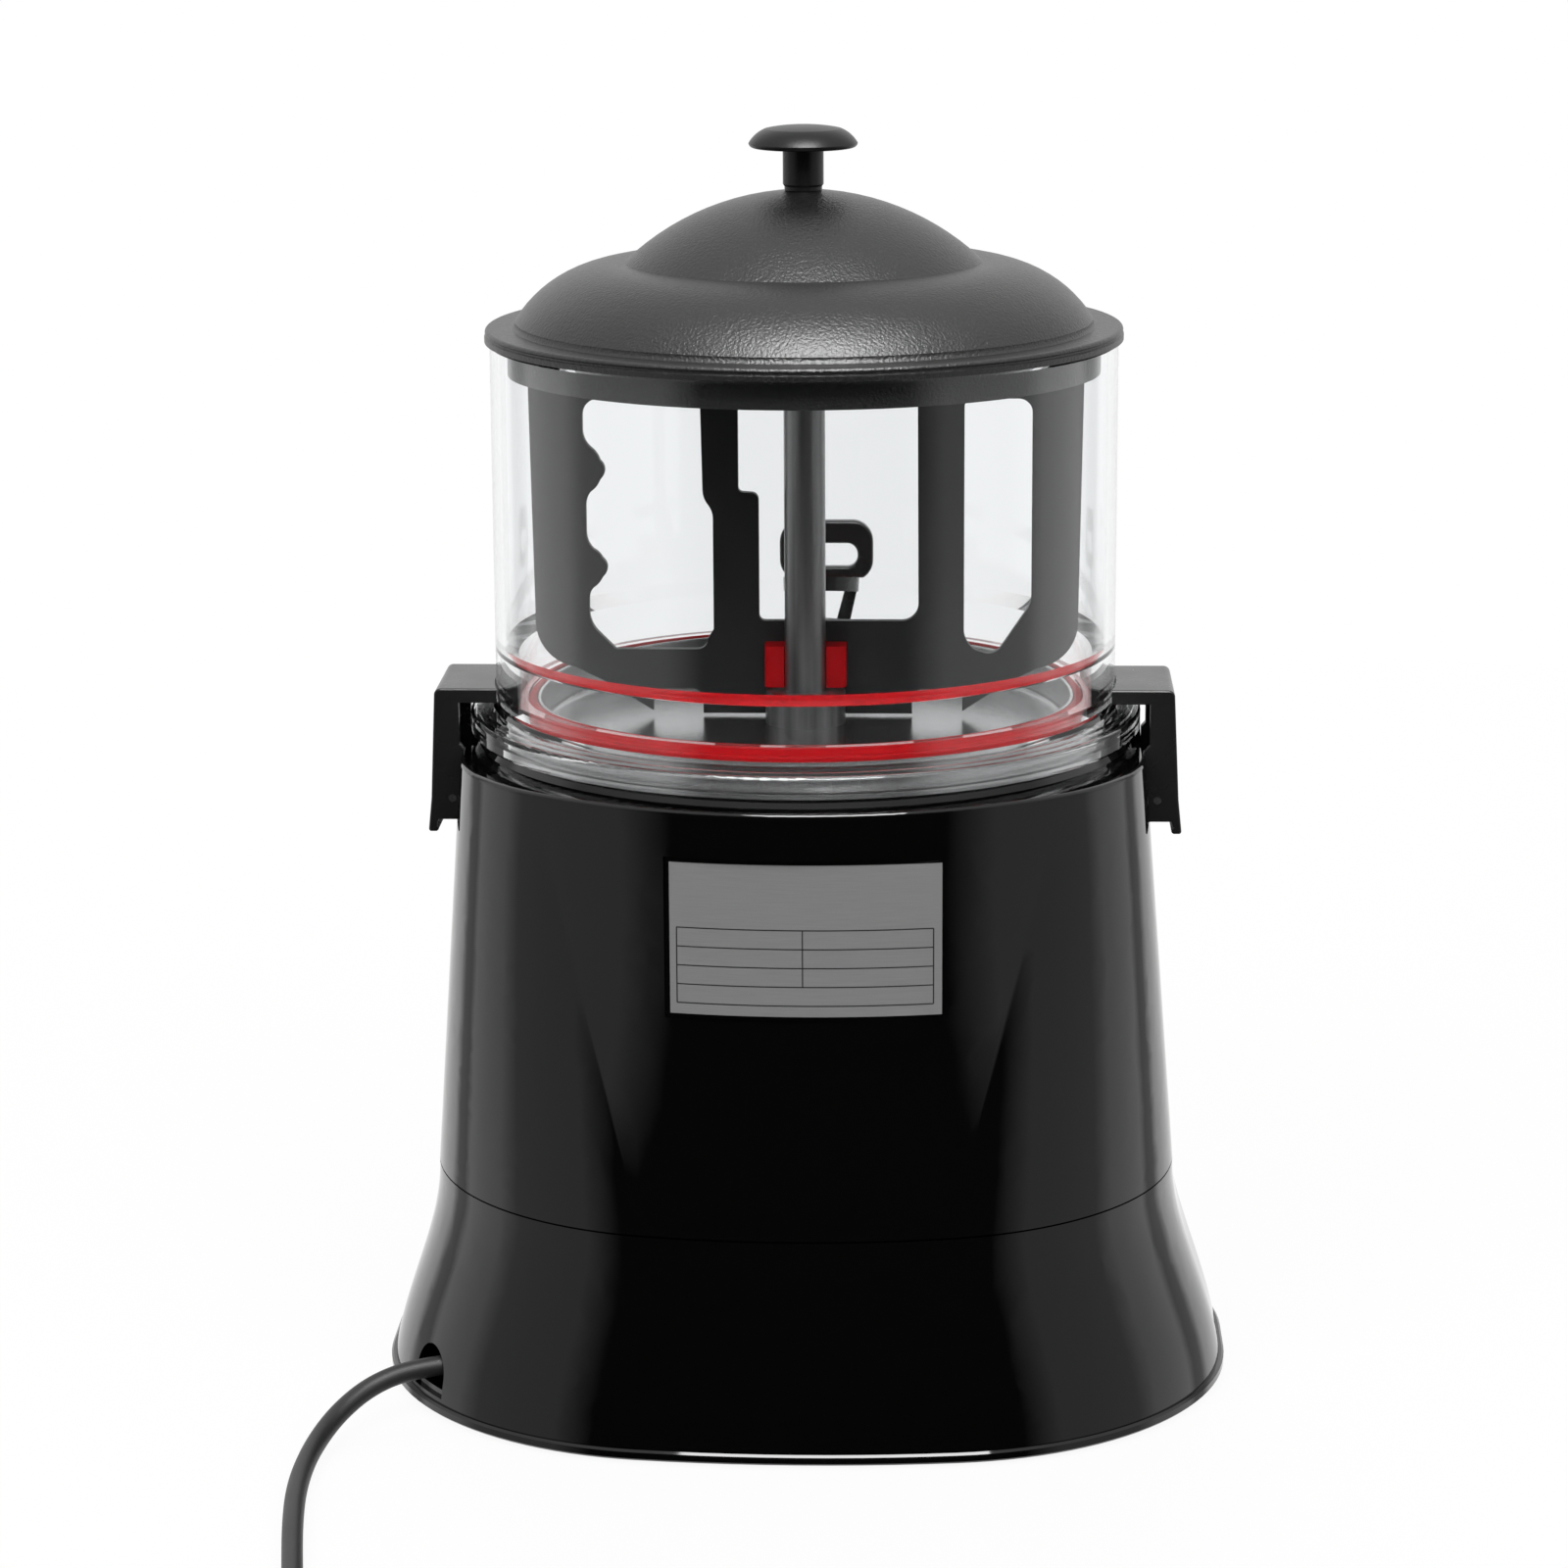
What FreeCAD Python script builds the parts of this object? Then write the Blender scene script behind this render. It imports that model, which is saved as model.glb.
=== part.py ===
"""Hot chocolate dispenser: heated pan, clear bowl with stirrer and tap, domed lid, flared housing.

Units are millimetres.  +Z is up and the front, with tap and drip tray, faces -Y.  The origin is the
centre of the footprint on the resting plane; the bowl's axis stands at Y = axis_shift.
Every driving dimension is a cell of the spreadsheet, and every sub-part is bound to those cells.
"""
import FreeCAD, Part
import math
import os

import Sketcher
from FreeCAD import Placement, Rotation, Vector

doc = FreeCAD.newDocument("ChocolateDispenser")

# --------------------------------------------------------------------------------------------------
# Driving dimensions
# --------------------------------------------------------------------------------------------------
DIMENSIONS = {
    # reach of the footprint from the bowl's axis
    "tray_reach": 269.0,
    # plan of the housing: half width, half depth, half length of the straight side, corner radius
    "rim_half_width": 126.2, "rim_half_depth": 130.5, "rim_side": 35.0, "rim_corner": 80.0,
    "seam_half_width": 138.9, "seam_half_depth": 127.5, "seam_side": 19.0, "seam_corner": 105.0,
    "waist_half_width": 143.3, "waist_half_depth": 128.0, "waist_side": 17.0, "waist_corner": 108.0,
    "flare_half_width": "=foot_half_width - 6.4", "flare_half_depth": 129.0, "flare_side": 14.0,
    "flare_corner": 112.0,
    "foot_half_width": 158.8, "foot_half_depth": 129.8, "foot_side": 12.0, "foot_corner": 115.0,
    "lip_overhang": 1.2, "lip_height": 4.0,
    # heights of the housing
    "lip_clearance": 1.5, "flare_height": 28.0, "waist_height": 56.0,
    "seam_height": 85.0, "rim_height": 243.0, "seam_gap": 0.6,
    "housing_wall": 3.0, "tongue_height": 6.0, "tongue_wall": 2.0,
    "deck_radius": 121.0, "deck_rise": 3.3, "deck_hole": 98.0, "deck_top": "=rim_height + deck_rise",
    # clearances
    "running_fit": 0.05, "loose_fit": 0.3, "seat_gap": 0.2,
    # base plate, ledge, feet and screws
    "base_height": 6.0, "base_thickness": 1.2, "ledge_width": 12.0, "ledge_height": 3.0,
    "feet_radius": 11.0, "feet_x": 100.0, "feet_y": 72.0, "front_feet_x": 70.0, "front_feet_back": 22.0,
    "screw_radius": 1.9, "screw_head_radius": 3.6, "screw_head_height": 2.2,
    "vent_length": 46.0, "vent_width": 4.0, "vent_pitch": 10.0,
    # rating plate
    "plate_width": 96.0, "plate_height": 55.0, "plate_thickness": 0.6, "plate_middle": "=rim_height - 46.5",
    "plate_bend": 230.0, "plate_recess": 2.0, "plate_margin": 2.0, "plate_shift": 4.0,
    # pan, its seal and the centre tube
    "pan_radius": "=bowl_radius - 15.3", "pan_wall": 1.5, "pan_floor": "=deck_top + pan_wall + seat_gap",
    "pan_shelf": "=deck_top + 10.5", "pan_rim": "=pan_shelf + 4.6", "pan_skirt": "=pan_radius + 9.5",
    "pan_bend": 3.0, "outlet_reach": 86.0, "outlet_flange": 11.0,
    "seal_lip": 2.9, "seal_foot": 1.8, "seal_proud": 0.5,
    "tube_radius": 7.7, "tube_wall": 1.5, "tube_top": "=deck_top + 139.7",
    "tube_bottom": "=bracket_height + 32.0",
    "collar_radius": 15.0, "collar_height": 12.0, "shaft_radius": 4.0, "shaft_flat": 3.0,
    # bowl
    "bowl_radius": 115.8, "bowl_wall": 3.8, "bowl_top": "=deck_top + 145.9", "bowl_step": 4.8,
    "step_low": "=deck_top + 30.7", "step_high": "=step_low + bowl_step",
    "flange_radius": "=bowl_radius + 9.6",
    "flange_thickness": 10.4,
    "bowl_lip": "=bowl_radius - 11.8", "bowl_lip_height": 3.5,
    "boss_radius": 16.0, "boss_reach": "=rim_half_depth + 1.5",
    # tap
    "tap_height": "=rim_height - 18.0", "stub_radius": 8.0, "duct_radius": 5.0, "neck_radius": 10.5,
    "tap_seal_thickness": 2.0, "valve_reach": "=boss_reach + 46.0", "chamber_radius": 14.5,
    "chamber_bore": 10.0,
    "chamber_top": "=tap_height + 20.0", "chamber_bottom": "=tap_height - 26.0",
    "spout_bottom": "=tap_height - 40.0", "spout_radius": 8.5,
    "spout_bore": 6.0, "cap_height": 5.0, "piston_bottom": "=tap_height - 9.0",
    "piston_top": "=tap_height + 8.0",
    "pivot_reach": "=valve_reach + 20.0", "pivot_height": "=tap_height - 2.0", "ear_radius": 5.0,
    "ear_wall": 3.0, "ear_inside": 5.2,
    "pin_radius": 1.5, "finger_length": 14.0, "finger_thickness": 5.0, "finger_neck": 3.0,
    "finger_width": 7.6,
    "handle_top": "=pivot_height + 65.0", "handle_height": 25.5, "handle_half_width": 20.3,
    "handle_shift": 2.2, "handle_leg": 6.8, "handle_bar": 9.5, "handle_foot": 6.0, "handle_corner": 9.0,
    "handle_thickness": 6.0, "handle_offset": 7.6, "handle_step": 0.8,
    # stirrer
    "paddle_half_width": "=bowl_radius - 11.5", "paddle_thickness": 3.5, "paddle_gap": 1.0,
    "paddle_top": "=deck_top + 132.7",
    "paddle_bottom": "=pan_floor + 1.2", "paddle_heel": "=pan_rim + 0.6",
    "window_top": "=paddle_top - 10.5", "hub_radius": 12.0, "hub_height": 11.0,
    "bush_half_width": 15.3, "bush_height": 15.6, "bush_lift": 0.9,
    # lid
    "lid_radius": "=bowl_radius + 1.8", "lid_band": 4.7, "lid_shell": 2.5, "dome_height": "=bowl_top + 54.3",
    "dome_radius": "=lid_radius - 21.6",
    "crease_radius": 65.7, "shoulder_radius": "=lid_radius - 11.3", "shoulder_height": "=bowl_top + 7.3",
    "shoulder_bend": 45.3, "skirt_radius": "=bowl_radius - 6.5", "skirt_wall": 2.5,
    "skirt_drop": "=bowl_top - 10.5",
    "knob_radius": 20.0, "knob_top": "=dome_height + 23.5", "knob_cap": 8.0, "knob_stem": 7.5,
    # latches
    "latch_pin_x": 131.3, "latch_pin_height": "=rim_height - 20.3", "latch_half_length": 23.0,
    "latch_wall": 2.8,
    "cheek_wall": 4.0, "latch_outside": 137.4, "latch_top": "=deck_top + 18.1", "arm_thickness": 5.3,
    "cheek_bottom": "=rim_height - 28.4", "latch_tail": "=rim_height - 33.0", "pocket_floor": 121.5,
    "pocket_bottom": "=rim_height - 39.0",
    "lug_half_length": 18.2, "lug_radius": 4.8,
    # control panel
    "panel_width": 98.0, "panel_height": 66.0, "panel_middle": "=rim_height - 85.0", "panel_thickness": 5.5,
    "panel_plane": 122.5, "panel_corner": 7.0, "panel_backing": 10.0, "panel_fit": 0.25,
    "knob_dial_radius": 17.0, "dial_skirt_radius": 19.5, "dial_height": 16.0, "spindle_radius": 3.0,
    "switch_offset": 34.0, "switch_width": 13.0, "switch_height": 19.0, "switch_drop": 5.0,
    "switch_bezel": 2.0, "switch_depth": 16.0, "rocker_tilt": 7.0, "lamp_radius": 3.6, "lamp_rise": 19.0,
    # drive and heat under the pan
    "bracket_height": "=rim_height - 43.0", "bracket_thickness": 2.0, "bracket_half": 84.0,
    "post_offset": 76.0,
    "post_radius": 5.0, "motor_radius": 30.0, "motor_bottom": "=bracket_height - 48.0",
    "gearbox_height": 20.0,
    "coupling_radius": 9.0, "coupling_bottom": "=bracket_height + 4.0",
    "coupling_top": "=bracket_height + 26.0",
    "heater_inner": 48.0, "heater_outer": 74.0, "heater_thickness": 7.0,
    # drip tray
    "shelf_half_width": 86.0, "shelf_wall": 2.0, "shelf_height": 18.0, "tray_wall": 2.2,
    "tray_height": 31.0, "tray_back": 112.0, "tray_corner": 24.0, "tray_rim": 3.0, "tray_lift": 0.4,
    "grille_thickness": 1.2, "grille_step": 3.0, "grille_back": 134.0, "slot_width": 4.0,
    "slot_pitch": 9.0, "slot_length": 44.0,
    # cord opening, gland, cord and plug
    "arch_angle": 33.2, "arch_side": 15.0, "arch_radius": 11.0, "arch_shoulder": 14.0,
    "terminal_reach": 69.0, "cord_radius": 3.75, "gland_radius": 7.0, "gland_length": 14.0,
    "gland_angle": 25.0,
    "exit_x": 121.9, "exit_y": 70.1, "exit_height": 18.0,
    "coil_x": 113.0, "coil_y": 322.0, "coil_middle_radius": 39.0,
    "plug_x": 41.8, "plug_y": 323.8, "plug_angle": -46.2,
}

sheet = doc.addObject("Spreadsheet::Sheet", "Sizes")
for row, alias in enumerate(DIMENSIONS, start=1):
    sheet.setAlias("A%d" % row, alias)
for row, value in enumerate(DIMENSIONS.values(), start=1):
    sheet.set("A%d" % row, str(value))
doc.recompute()


class Size:
    """A number together with the spreadsheet expression that gives it."""

    def __init__(self, number, text):
        self.number = float(number)
        self.text = text

    def __add__(self, other):
        other = as_size(other)
        return Size(self.number + other.number, "(%s + %s)" % (self.text, other.text))

    def __sub__(self, other):
        other = as_size(other)
        return Size(self.number - other.number, "(%s - %s)" % (self.text, other.text))

    def __mul__(self, other):
        other = as_size(other)
        return Size(self.number * other.number, "(%s * %s)" % (self.text, other.text))

    def __truediv__(self, other):
        other = as_size(other)
        return Size(self.number / other.number, "(%s / %s)" % (self.text, other.text))

    def __radd__(self, other):
        return as_size(other) + self

    def __rsub__(self, other):
        return as_size(other) - self

    def __rmul__(self, other):
        return as_size(other) * self

    def __neg__(self):
        return Size(-self.number, "(0 - %s)" % self.text)


def as_size(value):
    """A Size as it is, or a plain number as a Size of its own."""
    if isinstance(value, Size):
        return value
    return Size(value, "(%r)" % float(value))


def root_of(size):
    """Square root of a Size."""
    return Size(math.sqrt(size.number), "sqrt(%s)" % size.text)


def cosine(angle):
    """Cosine of a Size in degrees."""
    return Size(math.cos(math.radians(angle.number)), "cos(%s)" % angle.text)


def sine(angle):
    """Sine of a Size in degrees."""
    return Size(math.sin(math.radians(angle.number)), "sin(%s)" % angle.text)


class Sheet:
    """The spreadsheet's cells by their aliases, as Sizes."""

    def __getattr__(self, alias):
        return Size(sheet.get(alias), "Sizes.%s" % alias)


s = Sheet()

# --------------------------------------------------------------------------------------------------
# Helpers: bodies, bound sketches and features
# --------------------------------------------------------------------------------------------------
NORMAL_SIGN = {"XY": 1, "XZ": -1, "YZ": 1}
TINY = 1e-9


def new_body(label):
    """A PartDesign body whose label names its file."""
    body = doc.addObject("PartDesign::Body", "Body_" + label)
    body.Label = label
    return body


def bind(target, name, size):
    """Sets a property and binds it to the size's expression."""
    size = as_size(size)
    setattr(target, name, size.number)
    target.setExpression(name, size.text)


def seat(body, x=0, y=0, z=0, rotation=None):
    """Places a body relative to the bowl's axis on the resting plane."""
    places = (as_size(x), as_size(y) + axis_shift, as_size(z))
    body.Placement = Placement(Vector(*(place.number for place in places)), rotation or Rotation())
    for letter, place in zip("xyz", places):
        body.setExpression("Placement.Base." + letter, place.text)
    return body


def new_sketch(body, plane, at=0):
    """A sketch on one of the body's own origin planes, moved along its axis to the coordinate at."""
    sketch = body.newObject("Sketcher::SketchObject", body.Name + "_Sketch")
    planes = [item for item in body.Origin.OriginFeatures if item.Role == plane + "_Plane"]
    sketch.AttachmentSupport = [(planes[0], "")]
    sketch.MapMode = "FlatFace"
    offset = as_size(at) * NORMAL_SIGN[plane]
    sketch.AttachmentOffset = Placement(Vector(0, 0, offset.number), Rotation())
    sketch.setExpression("AttachmentOffset.Base.z", offset.text)
    return sketch


def add_constraints(sketch, wanted):
    """Adds (kind, value, ...) constraints at once; a last value that is a Size is bound to the sheet."""
    plain = []
    for kind, *values in wanted:
        if isinstance(values[-1], Size):
            values[-1] = values[-1].number
        plain.append(Sketcher.Constraint(kind, *values))
    first = sketch.ConstraintCount
    sketch.addConstraint(plain)
    for index, (kind, *values) in enumerate(wanted, start=first):
        if isinstance(values[-1], Size):
            sketch.setExpression("Constraints[%d]" % index, values[-1].text)


def held(geometry, position, x, y):
    """Constraints that hold a point of the sketch at two sizes from the origin."""
    found = []
    for size, kind, axis in ((as_size(x), "DistanceX", -2), (as_size(y), "DistanceY", -1)):
        if abs(size.number) < TINY:
            found.append(("PointOnObject", geometry, position, axis))
        else:
            found.append((kind, -1, 1, geometry, position, size))
    return found


def arc_between(start, end, radius):
    """The shorter arc from start to end; a positive radius turns left, a negative one right."""
    middle = (start + end) * 0.5
    chord = end - start
    reach = math.sqrt(max(radius * radius - (chord.Length / 2) ** 2, 0.0))
    left = Vector(-chord.y, chord.x, 0).normalize()
    centre = middle + left * (reach if radius > 0 else -reach)
    circle = Part.Circle(centre, Vector(0, 0, 1), abs(radius))
    first, last = (start, end) if radius > 0 else (end, start)
    angles = [math.atan2(point.y - centre.y, point.x - centre.x) for point in (first, last)]
    return Part.ArcOfCircle(circle, angles[0], angles[1])


def outline(sketch, corners):
    """A closed outline.  A corner is (x, y), or (x, y, radius) when an arc leads to it."""
    corners = [(as_size(corner[0]), as_size(corner[1])) + tuple(corner[2:]) for corner in corners]
    first = sketch.GeometryCount
    pieces = []
    ends = []
    for index, corner in enumerate(corners):
        before = corners[index - 1]
        start = Vector(before[0].number, before[1].number, 0)
        end = Vector(corner[0].number, corner[1].number, 0)
        if len(corner) == 2:
            pieces.append(Part.LineSegment(start, end))
            ends.append((1, 2))
        else:
            radius = as_size(corner[2]).number
            pieces.append(arc_between(start, end, radius))
            ends.append((1, 2) if radius > 0 else (2, 1))
    wanted = []
    for index, corner in enumerate(corners):
        following = (index + 1) % len(corners)
        wanted.append(("Coincident", first + index, ends[index][1], first + following, ends[following][0]))
        wanted += held(first + index, ends[index][1], corner[0], corner[1])
        if len(corner) == 3:
            radius = as_size(corner[2])
            wanted.append(("Radius", first + index, radius if radius.number > 0 else -radius))
    sketch.addGeometry(pieces, False)
    add_constraints(sketch, wanted)


def ring(sketch, x, y, radius):
    """A full circle in a sketch."""
    x, y, radius = as_size(x), as_size(y), as_size(radius)
    centre = Vector(x.number, y.number, 0)
    circle = sketch.addGeometry(Part.Circle(centre, Vector(0, 0, 1), radius.number), False)
    add_constraints(sketch, held(circle, 3, x, y) + [("Radius", circle, radius)])


def rectangle(sketch, x0, x1, y0, y1):
    """An upright rectangle in a sketch."""
    outline(sketch, [(x0, y0), (x1, y0), (x1, y1), (x0, y1)])


def round_rectangle(sketch, x0, x1, y0, y1, radius):
    """An upright rectangle with round corners."""
    outline(sketch, [
        (x1 - radius, y0), (x1, y0 + radius, radius), (x1, y1 - radius), (x1 - radius, y1, radius),
        (x0 + radius, y1), (x0, y1 - radius, radius), (x0, y0 + radius), (x0 + radius, y0, radius),
    ])


def extrude(body, sketch, length, cut=False, symmetric=False):
    """Pads or pockets a sketch along its normal, or to both sides of it."""
    kind = "Pocket" if cut else "Pad"
    feature = body.newObject("PartDesign::" + kind, "%s_%s" % (body.Name, kind))
    feature.Profile = sketch
    feature.SideType = "Symmetric" if symmetric else "One side"
    if cut and not symmetric:
        feature.Reversed = True
    bind(feature, "Length", length)
    body.Tip = feature
    return feature


def revolve(body, sketch, cut=False):
    """Turns a sketch about the body's Z axis, the sketch's vertical one."""
    kind = "Groove" if cut else "Revolution"
    feature = body.newObject("PartDesign::" + kind, "%s_%s" % (body.Name, kind))
    feature.Profile = sketch
    feature.ReferenceAxis = (sketch, ["V_Axis"])
    feature.Angle = 360
    body.Tip = feature
    return feature


def turned(label, corners):
    """A body turned from one half section of (radius, height) corners."""
    body = new_body(label)
    sketch = new_sketch(body, "XZ")
    outline(sketch, corners)
    revolve(body, sketch)
    return body


def block(body, x0, x1, y0, y1, z0, z1, cut=False):
    """Adds or cuts an upright box."""
    sketch = new_sketch(body, "XY", z0)
    rectangle(sketch, x0, x1, y0, y1)
    return extrude(body, sketch, as_size(z1) - z0, cut)


def post(body, plane, at, length, circles, cut=False):
    """Adds or cuts round bars along a plane's normal; circles are (x, y, radius)."""
    sketch = new_sketch(body, plane, at)
    for x, y, radius in circles:
        ring(sketch, x, y, radius)
    return extrude(body, sketch, length, cut)


def slot(sketch, x, y, length, width):
    """A slot along X with half-round ends."""
    x, y, half = as_size(x), as_size(y), as_size(width) / 2
    straight = as_size(length) / 2 - half
    centres = [Vector((x + side * straight).number, y.number, 0) for side in (1, -1)]
    up = Vector(0, half.number, 0)
    right, left = [Part.Circle(centre, Vector(0, 0, 1), half.number) for centre in centres]
    quarter = math.pi / 2
    first = sketch.GeometryCount
    sketch.addGeometry([
        Part.ArcOfCircle(right, -quarter, quarter), Part.LineSegment(centres[0] + up, centres[1] + up),
        Part.ArcOfCircle(left, quarter, 3 * quarter), Part.LineSegment(centres[1] - up, centres[0] - up),
    ], False)
    wanted = [("Tangent", first + step, 2, first + (step + 1) % 4, 1) for step in range(4)]
    for index, side in ((0, 1), (2, -1)):
        wanted += held(first + index, 3, x + side * straight, y)
        wanted.append(("Radius", first + index, half))
    add_constraints(sketch, wanted)


def slot_rows(body, at, reach, size, places, pitch, count):
    """Cuts a row of slots through a sheet and repeats it along Y; size is (length, width)."""
    sketch = new_sketch(body, "XY", at)
    for x, y in places:
        slot(sketch, x, y, *size)
    cut = extrude(body, sketch, reach, cut=True)
    pattern = body.newObject("PartDesign::LinearPattern", body.Name + "_Pattern")
    pattern.Originals = [cut]
    pattern.Direction = (sketch, ["V_Axis"])
    pattern.Occurrences = count
    bind(pattern, "Length", as_size(pitch) * (count - 1))
    body.Tip = pattern
    return pattern


def edge_near(shape, test):
    """Names of the shape's edges whose middle point passes the test."""
    names = []
    for index, edge in enumerate(shape.Edges, start=1):
        if test(edge, edge.valueAt((edge.FirstParameter + edge.LastParameter) / 2)):
            names.append("Edge%d" % index)
    return names


def soften(body, size, test, chamfer=False):
    """Fillets or chamfers the edges of the body's last feature that pass the test."""
    doc.recompute()
    base = body.Tip
    names = edge_near(base.Shape, test)
    if not names:
        raise RuntimeError("no edge to soften on " + body.Label)
    kind = "Chamfer" if chamfer else "Fillet"
    feature = body.newObject("PartDesign::" + kind, "%s_%s" % (body.Name, kind))
    feature.Base = (base, names)
    bind(feature, "Size" if chamfer else "Radius", size)
    body.Tip = feature
    return feature


FACING_FRONT = Rotation(Vector(1, 0, 0), 90)
FACING_RIGHT = Rotation(Vector(0, 1, 0), 90)

# --------------------------------------------------------------------------------------------------
# Plan of the housing
# --------------------------------------------------------------------------------------------------
SECTIONS = {
    name: tuple(getattr(s, name + "_" + part) for part in ("half_width", "half_depth", "side", "corner"))
    for name in ("rim", "seam", "waist", "flare", "foot")
}
lip_half_depth = s.foot_half_depth + s.lip_overhang
axis_shift = (s.tray_reach - lip_half_depth) / 2


def plan(sketch, section, inset=0.0):
    """Four straight-sided corners and two shallow ends, tangent to each other.

    The end radius follows from the half width, half depth, side and corner radius.
    """
    half_width, half_depth, side, corner = section
    half_width = half_width - inset
    half_depth = half_depth - inset
    corner = corner - inset
    across = half_width - corner
    along = half_depth - side
    end = (across * across + along * along - corner * corner) / (2 * (along - corner))
    join_x = end * across / (end - corner)
    join_y = half_depth - end + end * (end - along) / (end - corner)
    outline(sketch, [
        (half_width, side), (join_x, join_y, corner), (-join_x, join_y, end), (-half_width, side, corner),
        (-half_width, -side), (-join_x, -join_y, corner), (join_x, -join_y, end),
        (half_width, -side, corner),
    ])


def loft(body, levels, cut=False):
    """A loft through plan sections; levels are (section, height, inset).  A cut overshoots both ends."""
    overshoot = 1.0 if cut else 0.0
    last = len(levels) - 1
    sketches = []
    for index, (section, height, inset) in enumerate(levels):
        shift = overshoot * ((index == last) - (index == 0))
        sketch = new_sketch(body, "XY", height + shift)
        plan(sketch, section, inset)
        sketches.append(sketch)
    kind = "SubtractiveLoft" if cut else "AdditiveLoft"
    feature = body.newObject("PartDesign::" + kind, "%s_%s" % (body.Name, kind))
    feature.Profile = sketches[0]
    feature.Sections = sketches[1:]
    feature.Ruled = len(levels) == 2
    body.Tip = feature
    return feature


# --------------------------------------------------------------------------------------------------
# Housing
# --------------------------------------------------------------------------------------------------
casing_bottom = s.seam_height + s.seam_gap / 2
skirt_top = s.seam_height - s.seam_gap / 2
deck_under = s.rim_height - s.housing_wall
socket_end = s.boss_reach - 10.0
socket_start = socket_end - 18.0


def upper_casing():
    """Tapered shell with rim, ledge and raised deck, latch pockets, plate recess and panel seat."""
    body = new_body("upper_casing")
    loft(body, [(SECTIONS["seam"], casing_bottom, 0.0), (SECTIONS["rim"], s.rim_height, 0.0)])
    loft(body, [
        (SECTIONS["seam"], casing_bottom, s.housing_wall), (SECTIONS["rim"], deck_under - 1, s.housing_wall),
    ], cut=True)
    soften(body, 1.6, lambda edge, middle: abs(middle.z - s.rim_height.number) < 0.01)
    deck = new_sketch(body, "XZ")
    outline(deck, [
        (s.deck_hole, deck_under), (s.deck_radius + 1.5, deck_under), (s.deck_radius + 1.5, s.rim_height),
        (s.deck_radius, s.deck_top), (s.deck_hole, s.deck_top),
    ])
    revolve(body, deck)
    post(body, "XY", deck_under - 1, s.deck_rise + s.housing_wall + 2, [(0, 0, s.deck_hole)], cut=True)
    backing_x = s.pocket_floor - 8.0
    for side in (1, -1):
        block(body, side * backing_x, side * (s.pocket_floor + 2.5), -s.latch_half_length - 5.0,
              s.latch_half_length + 5.0, s.pocket_bottom - 4.0, deck_under + 1)
    pocket_half = s.latch_half_length + 1.0
    for side in (1, -1):
        block(body, side * s.pocket_floor, side * (s.pocket_floor + 14.0), -pocket_half, pocket_half,
              s.pocket_bottom, s.rim_height + 2, cut=True)
    half_panel = s.panel_width / 2
    low_panel = s.panel_middle - s.panel_height / 2
    high_panel = s.panel_middle + s.panel_height / 2
    block(body, -half_panel - 1.0, half_panel + 1.0, -s.panel_plane - 0.3, s.panel_backing - s.panel_plane,
          low_panel - 3.0, high_panel + 3.0)
    seat_cut = new_sketch(body, "XZ", -s.panel_plane)
    round_rectangle(seat_cut, -half_panel - s.panel_fit, half_panel + s.panel_fit,
                    low_panel - s.panel_fit, high_panel + s.panel_fit, s.panel_corner + s.panel_fit)
    extrude(body, seat_cut, 20.0, cut=True)
    front_openings(body, -s.panel_plane + s.panel_backing + 1.0, s.panel_backing + 2.0)
    boss_root = s.rim_half_depth - s.housing_wall / 2 - 0.5
    post(body, "XZ", -boss_root, s.boss_reach - boss_root, [(0, s.tap_height, s.boss_radius)])
    post(body, "XZ", -socket_end, s.boss_reach - socket_end + 1,
         [(0, s.tap_height, s.stub_radius + s.running_fit)],
         cut=True)
    plate_recess(body)
    return seat(body)


def front_openings(body, start, length):
    """Holes behind the panel: thermostat spindle, two switches and two lamps."""
    post(body, "XZ", start, length, [(0, s.panel_middle, s.spindle_radius + 2.2)], cut=True)
    half_width = s.switch_width / 2
    half_height = s.switch_height / 2
    switch_z = s.panel_middle - s.switch_drop
    for side in (1, -1):
        opening = new_sketch(body, "XZ", start)
        middle = side * s.switch_offset
        rectangle(opening, middle - half_width, middle + half_width,
                  switch_z - half_height, switch_z + half_height)
        extrude(body, opening, length, cut=True)
        post(body, "XZ", start, length, [(middle, s.panel_middle + s.lamp_rise, s.lamp_radius)], cut=True)


def bent_slab(sketch, middle, half, outer, thickness):
    """Plan of a slab bent about Z: its outer face touches Y = outer at x = middle."""
    drop = s.plate_bend - root_of(s.plate_bend * s.plate_bend - half * half)
    inner_bend = s.plate_bend - thickness
    inner_drop = inner_bend - root_of(inner_bend * inner_bend - half * half)
    outline(sketch, [
        (middle + half, outer - drop), (middle - half, outer - drop, s.plate_bend),
        (middle - half, outer - thickness - inner_drop),
        (middle + half, outer - thickness - inner_drop, -inner_bend),
    ])


plate_span = (s.plate_middle - s.seam_height) / (s.rim_height - s.seam_height)
back_at_plate = s.seam_half_depth + (s.rim_half_depth - s.seam_half_depth) * plate_span
recess_floor = back_at_plate - s.plate_recess


def plate_recess(body):
    """Shallow bent recess for the rating plate."""
    sketch = new_sketch(body, "XY", s.plate_middle - s.plate_height / 2 - s.plate_margin)
    slab = as_size(9.0)
    bent_slab(sketch, -s.plate_shift, s.plate_width / 2 + s.plate_margin, recess_floor + slab, slab)
    extrude(body, sketch, s.plate_height + s.plate_margin * 2, cut=True)


def rating_plate():
    """Thin bent metal plate in the recess."""
    body = new_body("rating_plate")
    sketch = new_sketch(body, "XY", s.plate_middle - s.plate_height / 2)
    bent_slab(sketch, -s.plate_shift, s.plate_width / 2, recess_floor + s.plate_thickness, s.plate_thickness)
    extrude(body, sketch, s.plate_height)
    return seat(body)


ledge_bottom = s.base_height + s.base_thickness
tray_slot_half = s.shelf_half_width + s.loose_fit
shelf_back = s.tray_back - 18.0
tray_slot_top = ledge_bottom + s.shelf_wall + s.tray_lift + s.tray_height + 3.0


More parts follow.
